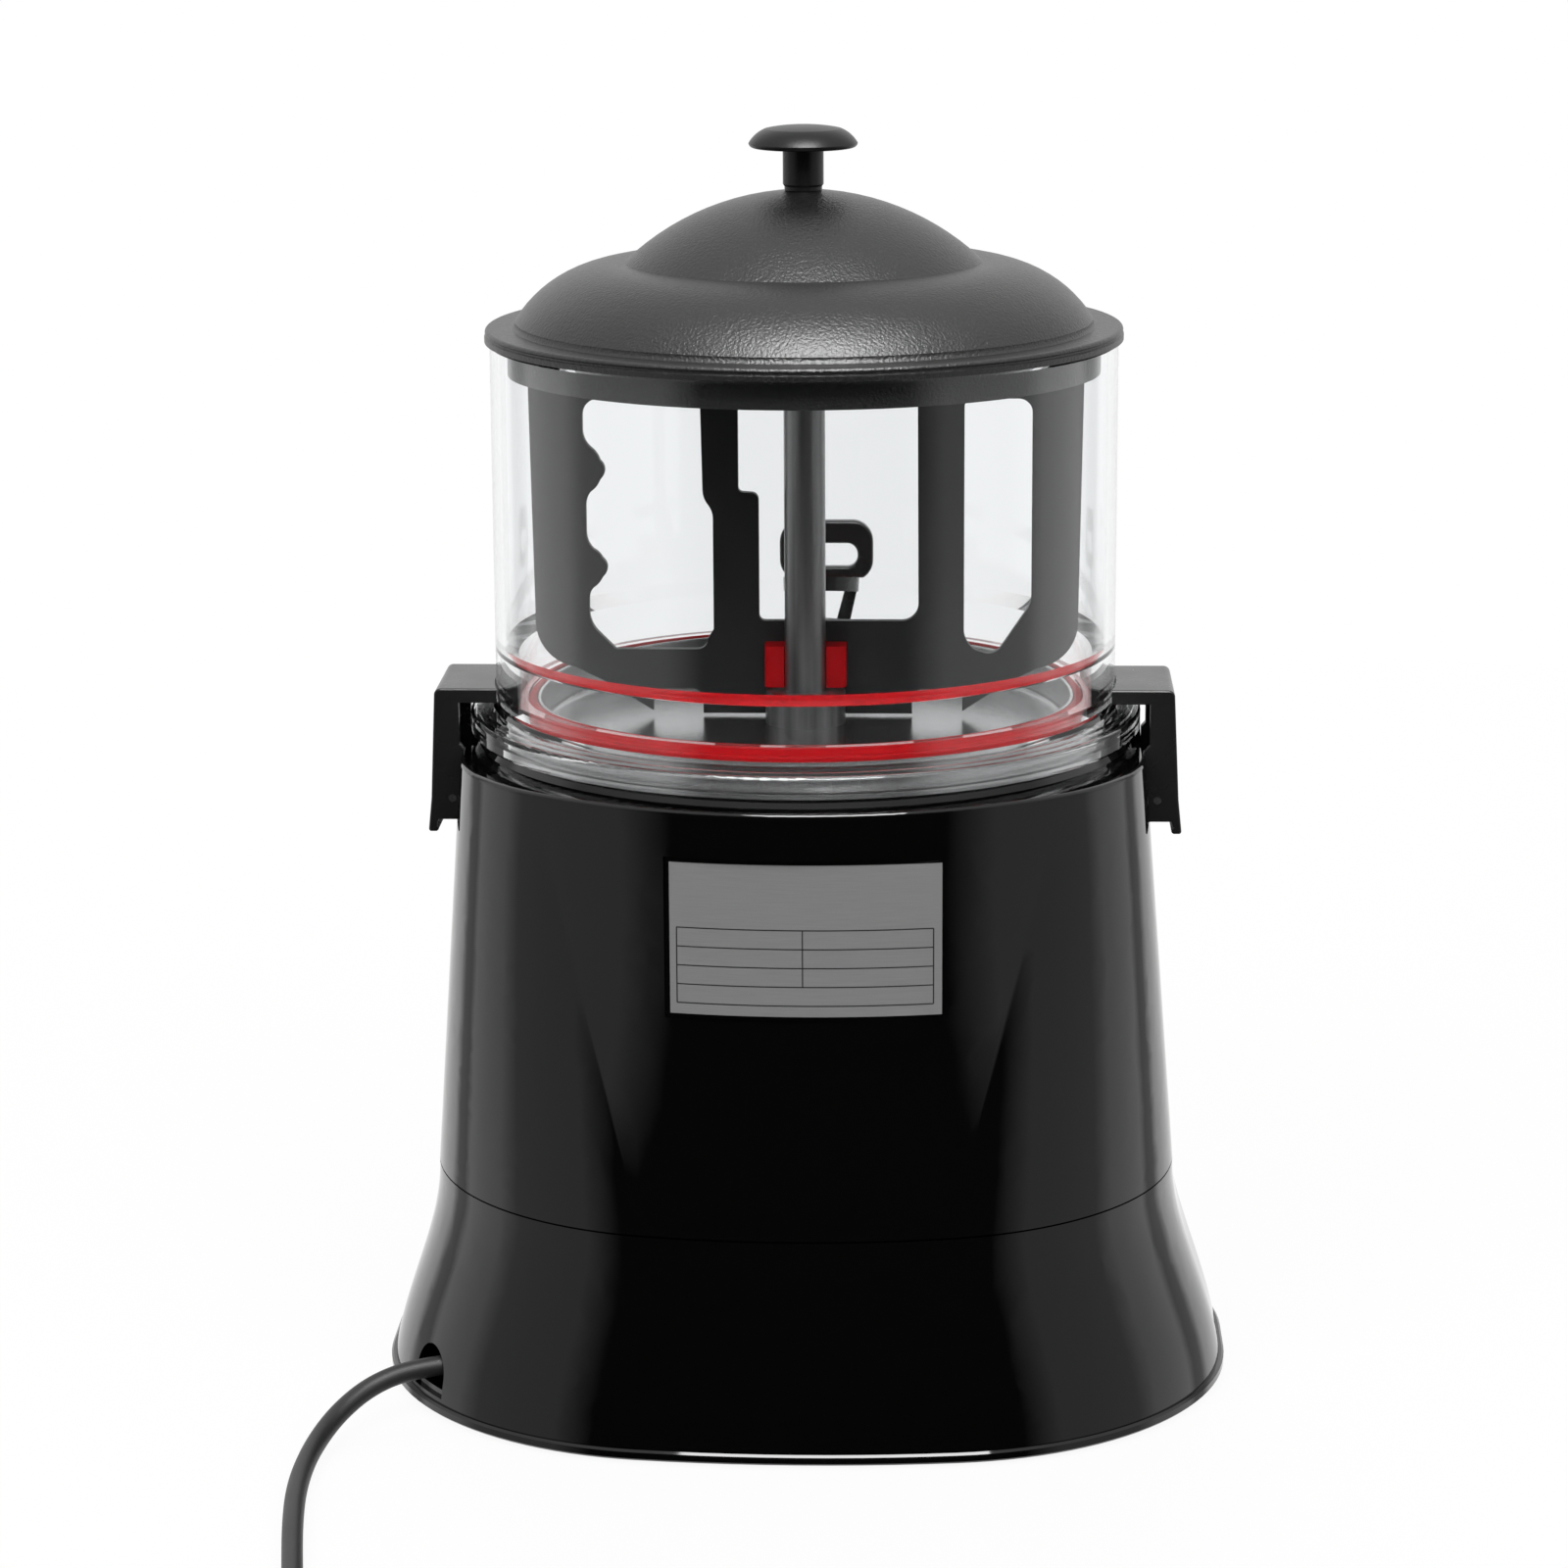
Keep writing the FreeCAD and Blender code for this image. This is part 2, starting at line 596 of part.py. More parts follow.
def lower_skirt():
    """Flared shell with bottom lip, inner ledge, tongue, tray opening and cord arch."""
    body = new_body("lower_skirt")
    lip = new_sketch(body, "XY", s.lip_clearance)
    plan(lip, SECTIONS["foot"], -s.lip_overhang)
    extrude(body, lip, s.lip_height)
    soften(body, 0.8, lambda edge, middle: edge.BoundBox.ZLength < TINY, chamfer=True)
    levels = (("foot", s.lip_clearance), ("flare", s.flare_height), ("waist", s.waist_height),
              ("seam", skirt_top))
    loft(body, [(SECTIONS[name], height, 0.0) for name, height in levels])
    loft(body, [(SECTIONS[name], height, s.housing_wall) for name, height in levels], cut=True)
    arch = new_sketch(body, "XZ")
    turn = s.arch_angle + 90
    arch.AttachmentOffset = Placement(Vector(0, 0, 0), Rotation(Vector(0, 1, 0), turn.number))
    arch.setExpression("AttachmentOffset.Rotation.Angle", turn.text)
    left, right = -s.arch_side - s.arch_radius, -s.arch_side + s.arch_radius
    outline(arch, [
        (left, ledge_bottom), (right, ledge_bottom), (right, s.arch_shoulder),
        (-s.arch_side, s.arch_shoulder + s.arch_radius, s.arch_radius),
        (left, s.arch_shoulder, s.arch_radius),
    ])
    extrude(body, arch, s.foot_half_width + s.feet_radius, cut=True)
    ledge = new_sketch(body, "XY", ledge_bottom)
    plan(ledge, SECTIONS["foot"], s.housing_wall * 0.66)
    plan(ledge, SECTIONS["foot"], s.housing_wall + s.ledge_width)
    extrude(body, ledge, s.ledge_height)
    tongue_inset = s.housing_wall + s.seat_gap
    tongue = new_sketch(body, "XY", skirt_top - s.tongue_height)
    plan(tongue, SECTIONS["seam"], s.housing_wall - 0.6)
    plan(tongue, SECTIONS["seam"], tongue_inset + s.tongue_wall)
    extrude(body, tongue, s.tongue_height)
    upstand = new_sketch(body, "XY", skirt_top)
    plan(upstand, SECTIONS["seam"], tongue_inset + 0.4)
    plan(upstand, SECTIONS["seam"], tongue_inset + s.tongue_wall)
    extrude(body, upstand, s.tongue_height)
    block(body, -tray_slot_half, tray_slot_half, -s.foot_half_depth - 10.0, -shelf_back + s.loose_fit,
          ledge_bottom - s.seat_gap, tray_slot_top, cut=True)
    post(body, "XY", ledge_bottom - 1, s.ledge_height + 2,
         [(x, y, s.screw_radius) for x, y in screw_places()],
         cut=True)
    return seat(body)


def base_plate():
    """Steel bottom with vent slots, screwed up against the skirt's ledge."""
    body = new_body("base_plate")
    sheet_plan = new_sketch(body, "XY", s.base_height)
    plan(sheet_plan, SECTIONS["foot"], s.housing_wall + 1.0)
    extrude(body, sheet_plan, s.base_thickness)
    columns = [(side * s.feet_x * 0.4, -s.vent_pitch * 2) for side in (1, -1)]
    slot_rows(body, s.base_height - 1, s.base_thickness + 2, (s.vent_length, s.vent_width), columns,
              s.vent_pitch, 8)
    holes = [(x, y, s.screw_radius + s.loose_fit) for x, y in screw_places() + foot_places()[:4]]
    post(body, "XY", s.base_height - 1, s.base_thickness + 2, holes, cut=True)
    return seat(body)


def screw_places():
    """Where the base plate is screwed to the ledge, half way across it."""
    inset = s.housing_wall + s.ledge_width / 2
    reach = (s.foot_corner - inset) * math.sqrt(0.5)
    corner_x = s.foot_half_width - s.foot_corner + reach
    corner_y = s.foot_side + reach
    corners = [(side * corner_x, end * corner_y) for side in (1, -1) for end in (1, -1)]
    return corners + [(side * (s.foot_half_width - inset), as_size(0)) for side in (1, -1)]


def foot_places():
    """Four feet under the base plate and two under the front of the tray shelf."""
    base = [(side * s.feet_x, end * s.feet_y) for side in (1, -1) for end in (1, -1)]
    front_y = -s.tray_reach + s.front_feet_back
    return base + [(side * s.front_feet_x, front_y) for side in (1, -1)]


def rubber_feet():
    """Tapered rubber feet, each hollow from below."""
    body = new_body("rubber_feet")
    places = foot_places()
    heights = [s.base_height] * 4 + [ledge_bottom] * 2
    for (x, y), height in zip(places, heights):
        post(body, "XY", 0, height, [(x, y, s.feet_radius)])
    hollows = [(x, y, s.screw_head_radius + 1.0) for x, y in places]
    post(body, "XY", 0, s.base_height * 0.5, hollows, cut=True)
    soften(body, 1.2, lambda edge, middle: abs(middle.z) < 0.01
           and edge.Length > 2 * math.pi * (s.feet_radius.number - 1), chamfer=True)
    return seat(body)


def screw(body, x, y, top, length, radius, head):
    """A pan-head screw that hangs below the height top, its shank going up."""
    head_radius, head_height = head
    post(body, "XY", top - head_height, head_height, [(x, y, head_radius)])
    post(body, "XY", top, length, [(x, y, radius)])


def base_screws():
    """Screws of the base plate, their heads against its underside."""
    body = new_body("base_screws")
    for x, y in screw_places():
        screw(body, x, y, s.base_height, s.base_thickness + s.ledge_height, s.screw_radius - s.running_fit,
              (s.screw_head_radius, s.screw_head_height))
    return seat(body)


# --------------------------------------------------------------------------------------------------
# Pan, seal, centre tube and drive
# --------------------------------------------------------------------------------------------------
pan_under = s.pan_floor - s.pan_wall
pan_inside = s.pan_radius - s.pan_wall
tube_bore = s.tube_radius - s.tube_wall
foot_top = s.pan_shelf + s.seal_foot
bowl_bottom = s.deck_top + s.loose_fit
lip_bottom = foot_top + s.seat_gap


def heated_pan():
    """Polished round dish with an outlet in its floor, a shelf for the seal and a skirt on the deck."""
    hole = s.tube_radius + s.running_fit
    skirt_inside = s.pan_skirt - s.pan_wall
    shelf_under = s.pan_shelf - s.pan_wall
    rim_bend = s.pan_wall / 2
    body = turned("heated_pan", [
        (hole, pan_under), (s.pan_radius, pan_under), (s.pan_radius, shelf_under),
        (skirt_inside, shelf_under),
        (skirt_inside, s.deck_top), (s.pan_skirt, s.deck_top), (s.pan_skirt, s.pan_shelf),
        (s.pan_radius, s.pan_shelf), (s.pan_radius, s.pan_rim - rim_bend),
        (s.pan_radius - rim_bend, s.pan_rim, rim_bend), (pan_inside, s.pan_rim - rim_bend, rim_bend),
        (pan_inside, s.pan_floor + s.pan_bend), (pan_inside - s.pan_bend, s.pan_floor, -s.pan_bend),
        (hole, s.pan_floor),
    ])
    post(body, "XY", pan_under - 1, s.pan_wall + 2, [(0, -s.outlet_reach, s.duct_radius)], cut=True)
    return seat(body)


def pan_outlet():
    """Elbow that leads from the pan's floor to the tap's stub, with a socket for the stub."""
    body = new_body("pan_outlet")
    post(body, "XY", s.tap_height - s.stub_radius, pan_under - s.tap_height + s.stub_radius,
         [(0, -s.outlet_reach, s.stub_radius)])
    post(body, "XY", pan_under - s.pan_wall, s.pan_wall, [(0, -s.outlet_reach, s.outlet_flange)])
    post(body, "XZ", -s.outlet_reach, socket_start - s.outlet_reach, [(0, s.tap_height, s.stub_radius)])
    shoulder = socket_start - s.housing_wall
    post(body, "XZ", -shoulder, socket_end - shoulder, [(0, s.tap_height, s.neck_radius)])
    post(body, "XY", s.tap_height, pan_under - s.tap_height + 1, [(0, -s.outlet_reach, s.duct_radius)],
         cut=True)
    post(body, "XZ", -s.outlet_reach, socket_end - s.outlet_reach, [(0, s.tap_height, s.duct_radius)],
         cut=True)
    post(body, "XZ", -socket_start, socket_end - socket_start + 1,
         [(0, s.tap_height, s.stub_radius + s.running_fit)], cut=True)
    return seat(body)


def pan_seal():
    """Silicone ring with a foot under the bowl and a lip round the pan's rim."""
    inner = s.pan_radius + s.seat_gap
    lip_top = s.pan_rim + s.seal_proud
    lip_outer = inner + s.seal_lip
    return seat(turned("pan_seal", [
        (inner, s.pan_shelf), (s.pan_skirt, s.pan_shelf), (s.pan_skirt, foot_top), (lip_outer, foot_top),
        (lip_outer, lip_top - 1.0), (lip_outer - 1.0, lip_top, 1.0), (inner + 1.0, lip_top),
        (inner, lip_top - 1.0, 1.0),
    ]))


collar_top = s.pan_floor + s.collar_height


def centre_tube():
    """Fixed steel tube through the pan, with a boss that stands on the pan's floor."""
    return seat(turned("centre_tube", [
        (tube_bore, s.tube_bottom), (s.tube_radius, s.tube_bottom), (s.tube_radius, s.pan_floor),
        (s.collar_radius, s.pan_floor), (s.collar_radius, collar_top - 1.0),
        (s.collar_radius - 1.0, collar_top, 1.0),
        (s.tube_radius, collar_top), (s.tube_radius, s.tube_top), (tube_bore, s.tube_top),
    ]))


def tube_bushing(label, low, high, flange):
    """Flanged plain bearing for the drive shaft in one end of the tube."""
    bore = s.shaft_radius + s.running_fit
    outer = tube_bore - s.running_fit
    if flange > 0:
        corners = [(bore, low), (outer, low), (outer, high), (s.tube_radius, high),
                   (s.tube_radius, high + 1.5), (bore, high + 1.5)]
    else:
        corners = [(bore, low - 1.5), (s.tube_radius, low - 1.5), (s.tube_radius, low), (outer, low),
                   (outer, high), (bore, high)]
    return seat(turned(label, corners))


shaft_bottom = s.coupling_bottom + 8.0
hub_bottom = s.tube_top + 3.0
hub_top = hub_bottom + s.hub_height


def drive_shaft():
    """Steel shaft from the coupling to the paddle hub, with a flat at its top."""
    body = turned("drive_shaft", [
        (0, shaft_bottom), (s.shaft_radius, shaft_bottom), (s.shaft_radius, hub_top - 0.8),
        (s.shaft_radius - 0.8, hub_top), (0, hub_top),
    ])
    block(body, -s.shaft_radius - 1.0, s.shaft_radius + 1.0, s.shaft_flat, s.shaft_radius + 1.0,
          hub_bottom, hub_top + 1, cut=True)
    return seat(body)


def shaft_coupling():
    """Sleeve that joins the motor's spindle to the drive shaft."""
    bore = s.shaft_radius + s.running_fit
    body = turned("shaft_coupling", [
        (bore, s.coupling_bottom), (s.coupling_radius - 0.8, s.coupling_bottom),
        (s.coupling_radius, s.coupling_bottom + 0.8), (s.coupling_radius, s.coupling_top - 0.8),
        (s.coupling_radius - 0.8, s.coupling_top), (bore, s.coupling_top),
    ])
    for height in (s.coupling_bottom + 4.5, s.coupling_top - 4.5):
        post(body, "YZ", 0, s.coupling_radius + 1, [(0, height, 1.6)], cut=True)
    return seat(body)


def motor_spindle():
    """Output spindle of the gear motor, reaching into the coupling."""
    return seat(turned("motor_spindle", [
        (0, s.bracket_height - s.gearbox_height * 0.5),
        (s.shaft_radius, s.bracket_height - s.gearbox_height * 0.5),
        (s.shaft_radius, shaft_bottom - 0.6), (0, shaft_bottom - 0.6),
    ]))


def gear_motor():
    """Motor can with its gear case against the bracket."""
    body = new_body("gear_motor")
    case = new_sketch(body, "XY", s.bracket_height - s.gearbox_height)
    half = s.motor_radius + 4.0
    round_rectangle(case, -half, half, -half, half + 14.0, as_size(10.0))
    extrude(body, case, s.gearbox_height)
    can = new_sketch(body, "XY", s.motor_bottom)
    ring(can, 0, 14.0, s.motor_radius)
    extrude(body, can, s.bracket_height - s.gearbox_height - s.motor_bottom)
    spindle_room = s.shaft_radius + s.loose_fit
    post(body, "XY", s.bracket_height - s.gearbox_height * 0.5 - 0.5, s.gearbox_height,
         [(0, 0, spindle_room)], cut=True)
    soften(body, 2.5, lambda edge, middle: abs(middle.z - s.motor_bottom.number) < 0.01)
    return seat(body)


def motor_bracket():
    """Sheet bracket under the deck, carrying the gear motor."""
    body = new_body("motor_bracket")
    sheet_plan = new_sketch(body, "XY", s.bracket_height)
    round_rectangle(sheet_plan, -s.bracket_half, s.bracket_half, -s.bracket_half, s.bracket_half,
                    as_size(12.0))
    extrude(body, sheet_plan, s.bracket_thickness)
    post(body, "XY", s.bracket_height - 1, s.bracket_thickness + 2,
         [(0, 0, s.coupling_radius + 2.0)], cut=True)
    columns = [(side * s.bracket_half * 0.68, -36.0) for side in (1, -1)]
    slot_rows(body, s.bracket_height - 1, s.bracket_thickness + 2, (26.0, s.slot_width), columns, 12.0, 7)
    return seat(body)


def bracket_posts():
    """Four threaded spacers between the deck and the bracket."""
    body = new_body("bracket_posts")
    for x in (-s.post_offset, s.post_offset):
        for y in (-s.post_offset, s.post_offset):
            post(body, "XY", s.bracket_height + s.bracket_thickness,
                 deck_under - s.bracket_height - s.bracket_thickness, [(x, y, s.post_radius)])
    return seat(body)


def bracket_screws():
    """Screws under the bracket, one for each spacer."""
    body = new_body("bracket_screws")
    for x in (-s.post_offset, s.post_offset):
        for y in (-s.post_offset, s.post_offset):
            post(body, "XY", s.bracket_height - s.screw_head_height, s.screw_head_height,
                 [(x, y, s.screw_head_radius)])
    return seat(body)


def heating_element():
    """Flat ring heater pressed against the underside of the pan."""
    low = pan_under - s.heater_thickness
    bend = 1.5
    return seat(turned("heating_element", [
        (s.heater_inner + bend, low, bend), (s.heater_outer - bend, low), (s.heater_outer, low + bend, bend),
        (s.heater_outer, pan_under), (s.heater_inner, pan_under), (s.heater_inner, low + bend),
    ]))


def overheat_cutout():
    """Bimetal disc thermostat under the pan."""
    body = turned("overheat_cutout", [
        (0, pan_under - 7.0), (6.0, pan_under - 7.0), (6.0, pan_under - 4.0), (8.0, pan_under - 4.0),
        (8.0, pan_under), (0, pan_under),
    ])
    return seat(body, y=(s.heater_outer + s.pan_radius) / 2)


def sensing_bulb():
    """Liquid-filled bulb of the thermostat, clipped under the pan."""
    bulb = 2.6
    body = new_body("sensing_bulb")
    post(body, "XZ", 16.0, 32.0, [(0, pan_under - bulb, bulb)])
    return seat(body, x=-(s.heater_outer + s.pan_radius) / 2)


# --------------------------------------------------------------------------------------------------
# Bowl
# --------------------------------------------------------------------------------------------------
bowl_inside = s.bowl_radius - s.bowl_wall
bowl_inside_low = bowl_inside - s.bowl_step
flange_top = bowl_bottom + s.flange_thickness


def bowl():
    """Clear cylinder, thicker at its foot, with a stepped clamping flange and an inner lip."""
    recess = s.pan_skirt + 1.2
    return seat(turned("bowl", [
        (s.bowl_lip, lip_bottom), (recess, lip_bottom), (recess, bowl_bottom),
        (s.flange_radius - 1.4, bowl_bottom), (s.flange_radius, bowl_bottom + 1.4),
        (s.flange_radius, flange_top - 3.4), (s.flange_radius - 1.2, flange_top - 2.2, 1.2),
        (s.flange_radius - 2.6, flange_top - 2.2), (s.flange_radius - 2.6, flange_top - 1.1),
        (s.flange_radius - 4.6, flange_top - 1.1), (s.flange_radius - 4.6, flange_top),
        (s.bowl_radius + 1.2, flange_top), (s.bowl_radius, flange_top + 1.2),
        (s.bowl_radius, s.bowl_top - 0.8), (s.bowl_radius - 0.8, s.bowl_top),
        (bowl_inside, s.bowl_top), (bowl_inside, s.step_high), (bowl_inside_low, s.step_low),
        (bowl_inside_low, lip_bottom + s.bowl_lip_height), (s.bowl_lip, lip_bottom + s.bowl_lip_height),
    ]))


# --------------------------------------------------------------------------------------------------
# Tap
# --------------------------------------------------------------------------------------------------
tap_face = s.boss_reach + s.tap_seal_thickness
chamber_front = s.valve_reach + s.chamber_radius


def tap_seal():
    """Flat silicone ring between the casing's boss and the tap."""
    body = turned("tap_seal", [
        (s.stub_radius + s.running_fit, 0), (s.boss_radius - 2.0, 0),
        (s.boss_radius - 2.0, s.tap_seal_thickness),
        (s.stub_radius + s.running_fit, s.tap_seal_thickness),
    ])
    return seat(body, y=-s.boss_reach, z=s.tap_height, rotation=FACING_FRONT)


def tap_body():
    """Tap with inlet stub, collar, upright valve chamber, spout and two pivot ears."""
    body = new_body("tap_body")
    stub_start = socket_start + 2.0
    post(body, "XZ", -stub_start, tap_face - stub_start, [(0, s.tap_height, s.stub_radius)])
    collar = new_sketch(body, "XZ", -tap_face)
    hexagon(collar, 0, s.tap_height, s.boss_radius - 1.0)
    extrude(body, collar, 7.0)
    post(body, "XZ", -tap_face, s.valve_reach - tap_face, [(0, s.tap_height, s.neck_radius)])
    chamber = new_sketch(body, "XY", s.chamber_bottom)
    ring(chamber, 0, -s.valve_reach, s.chamber_radius)
    extrude(body, chamber, s.chamber_top - s.chamber_bottom)
    spout = new_sketch(body, "XY", s.spout_bottom)
    ring(spout, 0, -s.valve_reach, s.spout_radius)
    extrude(body, spout, s.chamber_bottom - s.spout_bottom)
    for side in (1, -1):
        ear = new_sketch(body, "YZ", s.ear_inside if side > 0 else -s.ear_inside - s.ear_wall)
        low = s.pivot_height - s.ear_radius
        high = s.pivot_height + s.ear_radius
        outline(ear, [
            (-chamber_front + 4.0, low), (-chamber_front + 4.0, high), (-s.pivot_reach, high),
            (-s.pivot_reach - s.ear_radius, s.pivot_height, s.ear_radius),
            (-s.pivot_reach, low, s.ear_radius),
        ])
        extrude(body, ear, s.ear_wall)
    post(body, "XY", s.piston_bottom - 3.0, s.chamber_top, [(0, -s.valve_reach, s.chamber_bore)], cut=True)
    post(body, "XY", s.spout_bottom - 1, s.piston_bottom - s.spout_bottom,
         [(0, -s.valve_reach, s.spout_bore)], cut=True)
    post(body, "XZ", -stub_start + 3.0, s.valve_reach - stub_start + 3.0,
         [(0, s.tap_height, s.duct_radius)], cut=True)
    half_window = s.finger_width / 2 + 0.6
    window_low = s.pivot_height - s.finger_thickness / 2 - 1.6
    window_high = s.pivot_height + s.finger_thickness / 2 + s.finger_length * 0.5 + 2.0
    block(body, -half_window, half_window, -chamber_front - 2.0, -s.valve_reach, window_low, window_high,
          cut=True)
    post(body, "YZ", -s.ear_inside - s.ear_wall - 1, (s.ear_inside + s.ear_wall) * 2 + 2,
         [(-s.pivot_reach, s.pivot_height, s.pin_radius + s.running_fit)], cut=True)
    soften(body, 0.8, lambda edge, middle: abs(middle.z - s.spout_bottom.number) < 0.01, chamfer=True)
    return seat(body)


def hexagon(sketch, x, y, flat):
    """A hexagon with two upright flats at the distance flat from its centre."""
    x, y = as_size(x), as_size(y)
    corner = flat * (2 / math.sqrt(3))
    outline(sketch, [
        (x + corner * math.cos(math.radians(60 * step + 30)),
         y + corner * math.sin(math.radians(60 * step + 30)))
        for step in range(6)
    ])


def tap_cap():
    """Screw cap on the valve chamber with a spigot inside."""
    spigot = s.chamber_bore - s.running_fit
    return seat(turned("tap_cap", [
        (0, s.chamber_top - 2.0), (spigot, s.chamber_top - 2.0), (spigot, s.chamber_top),
        (s.chamber_radius + 1.0, s.chamber_top),
        (s.chamber_radius + 1.0, s.chamber_top + s.cap_height - 1.5),
        (s.chamber_radius - 0.5, s.chamber_top + s.cap_height, 1.5), (0, s.chamber_top + s.cap_height),
    ]), y=-s.valve_reach)


groove_low = s.pivot_height - s.finger_thickness / 2 - s.loose_fit
groove_high = s.pivot_height + s.finger_thickness / 2 + s.loose_fit


def valve_piston():
    """Piston that closes the inlet duct, with a pocket for the lever's finger."""
    radius = s.chamber_bore - s.running_fit
    body = turned("valve_piston", [
        (0, s.piston_bottom + 2.5), (radius - 2.0, s.piston_bottom + 2.5),
        (radius - 2.0, s.piston_bottom + 3.2),
        (radius, s.piston_bottom + 3.2), (radius, s.piston_top - 1.0), (radius - 1.0, s.piston_top),
        (0, s.piston_top),
    ])
    half = s.finger_width / 2 + s.loose_fit
    block(body, -half, half, -radius - 1.0, -1.0, groove_low, groove_high, cut=True)
    return seat(body, y=-s.valve_reach)


def piston_seal():
    """Silicone pad on the piston's underside that shuts the spout."""
    return seat(turned("piston_seal", [
        (0, s.piston_bottom - 2.8), (s.spout_bore + 1.2, s.piston_bottom - 2.8),
        (s.chamber_bore - 1.2, s.piston_bottom), (s.chamber_bore - 1.2, s.piston_bottom + 2.5),
        (0, s.piston_bottom + 2.5),
    ]), y=-s.valve_reach)


def valve_spring():
    """Return spring between piston and cap: round coils on a thin sleeve."""
    low = s.piston_top + 0.1
    high = s.chamber_top - 2.0 - 0.1
    coils = 4
    pitch = (high - low) / coils
    wire = pitch / 2
    inner = s.chamber_bore - 4.0
    outer = inner + 0.6
    corners = [(inner, low), (outer, low)]
    for coil in range(coils):
        start = low + pitch * coil
        corners += [(outer, start + 0.2), (outer, start + pitch - 0.2, wire)]
    corners += [(outer, high), (inner, high)]
    return seat(turned("valve_spring", corners), y=-s.valve_reach)


def lever_pin():
    """Pin through the tap's ears and the lever's hub."""
    half = s.ear_inside + s.ear_wall + 0.8
    body = turned("lever_pin", [(0, 0), (s.pin_radius, 0), (s.pin_radius, half * 2), (0, half * 2)])
    return seat(body, x=-half, y=-s.pivot_reach, z=s.pivot_height, rotation=FACING_RIGHT)


def tap_lever():
    """Loop handle on one slanted stem, with pivot hub and piston finger."""
    body = new_body("tap_lever")
    back = s.pivot_reach + s.handle_offset
    low = s.handle_top - s.handle_height
    left = -s.handle_shift - s.handle_half_width
    right = -s.handle_shift + s.handle_half_width
    loop = new_sketch(body, "XZ", -back)
    round_rectangle(loop, left, right, low, s.handle_top, s.handle_corner)
    extrude(body, loop, s.handle_thickness)
    opening = new_sketch(body, "XZ", -back + 1)
    round_rectangle(opening, left + s.handle_leg, right - s.handle_leg, low + s.handle_foot,
                    s.handle_top - s.handle_bar, s.handle_corner / 2)
    extrude(body, opening, s.handle_thickness + 2, cut=True)
    soften(body, 1.4, lambda edge, middle: abs(middle.y + back.number + s.handle_thickness.number / 2) > 2.9)
    stem = new_sketch(body, "XZ", -back - s.handle_step)
    stem_top = low + s.handle_foot / 2
    foot_half = as_size(5.0)
    outline(stem, [
        (-17.6, stem_top), (-12.4, stem_top), (-4.6, s.pivot_height + 15.0),
        (foot_half, s.pivot_height + 5.0),
        (foot_half, s.pivot_height - 5.0), (-foot_half, s.pivot_height - 5.0),
        (-foot_half, s.pivot_height + 5.0),
        (-11.0, s.pivot_height + 15.0),
    ])
    extrude(body, stem, s.handle_thickness - s.handle_step * 2)
    hub = s.ear_inside - s.loose_fit
    post(body, "YZ", -hub, hub * 2, [(-s.pivot_reach, s.pivot_height, s.ear_radius - 0.8)])
    web = new_sketch(body, "YZ")
    web_half = s.finger_thickness / 2
    rectangle(web, -back - s.handle_step - 1.5, -s.pivot_reach, s.pivot_height - web_half,
              s.pivot_height + web_half)
    extrude(body, web, hub * 2, symmetric=True)
    finger = new_sketch(body, "YZ")
    tip = -s.pivot_reach + s.finger_length - web_half
    neck_half = s.finger_neck / 2
    start = tip - root_of(web_half * web_half - neck_half * neck_half)
    outline(finger, [
        (-s.pivot_reach, s.pivot_height - neck_half), (start, s.pivot_height - neck_half),
        (tip, s.pivot_height - web_half, web_half), (tip + web_half, s.pivot_height, web_half),
        (tip, s.pivot_height + web_half, web_half), (start, s.pivot_height + neck_half, web_half),
        (-s.pivot_reach, s.pivot_height + neck_half),
    ])
    extrude(body, finger, s.finger_width, symmetric=True)
    post(body, "YZ", -hub - 1, hub * 2 + 2,
         [(-s.pivot_reach, s.pivot_height, s.pin_radius + s.running_fit)], cut=True)
    return seat(body)


# --------------------------------------------------------------------------------------------------
# Stirrer
# --------------------------------------------------------------------------------------------------
paddle_face = s.tube_radius + s.paddle_gap


def stirring_paddle():
    """Flat plate with scalloped and square windows, feet with notches, and a hub over the shaft."""
    body = new_body("stirring_paddle")
    plate = new_sketch(body, "XZ", -paddle_face)
    half = s.paddle_half_width
    low = s.paddle_bottom
    heel = s.paddle_heel
    notch = s.collar_radius - 1.5
    outline(plate, [
        (half, s.paddle_top), (-half, s.paddle_top), (-half + 1.6, heel + 24.0),
        (-half + 17.0, heel + 4.5, 18.0),
        (-74.0, heel - 2.0), (-59.0, low + 1.0), (-59.0, low + 6.0), (-55.0, low + 9.0, -5.0),
        (-43.0, low + 9.0), (-40.0, low + 6.0, -4.0), (-40.0, low), (-notch, low),
        (-notch, collar_top + s.paddle_gap),
        (notch, collar_top + s.paddle_gap), (notch, low), (39.0, low), (39.0, low + 6.0),
        (42.5, low + 9.0, -4.5),
        (54.0, low + 9.0), (58.0, low + 6.0, -4.8), (58.0, low + 1.0), (74.0, heel - 2.0),
        (half - 17.0, heel + 4.5), (half - 1.6, heel + 24.0, 18.0),
    ])
    extrude(body, plate, s.paddle_thickness)
    windows = new_sketch(body, "XZ", -paddle_face + 1)
    scalloped_window(windows)
    tube_window(windows)
    slanted_window(windows)
    extrude(body, windows, s.paddle_thickness + 2, cut=True)
    hub = new_sketch(body, "XY", hub_bottom)
    ring(hub, 0, 0, s.hub_radius)
    extrude(body, hub, s.hub_height)
    block(body, -s.hub_radius, s.hub_radius, -paddle_face - s.paddle_thickness, -s.shaft_radius - 2.0,
          s.paddle_top - 8.0, hub_top)
    block(body, -s.hub_radius - 1, s.hub_radius + 1, -paddle_face, s.hub_radius + 1,
          s.paddle_top - 9.0, hub_bottom, cut=True)
    d_bore(body)
    soften(body, 1.5, lambda edge, middle: abs(middle.z - hub_top.number) < 0.01
           and math.hypot(middle.x, middle.y) > s.hub_radius.number - 0.5)
    return seat(body)


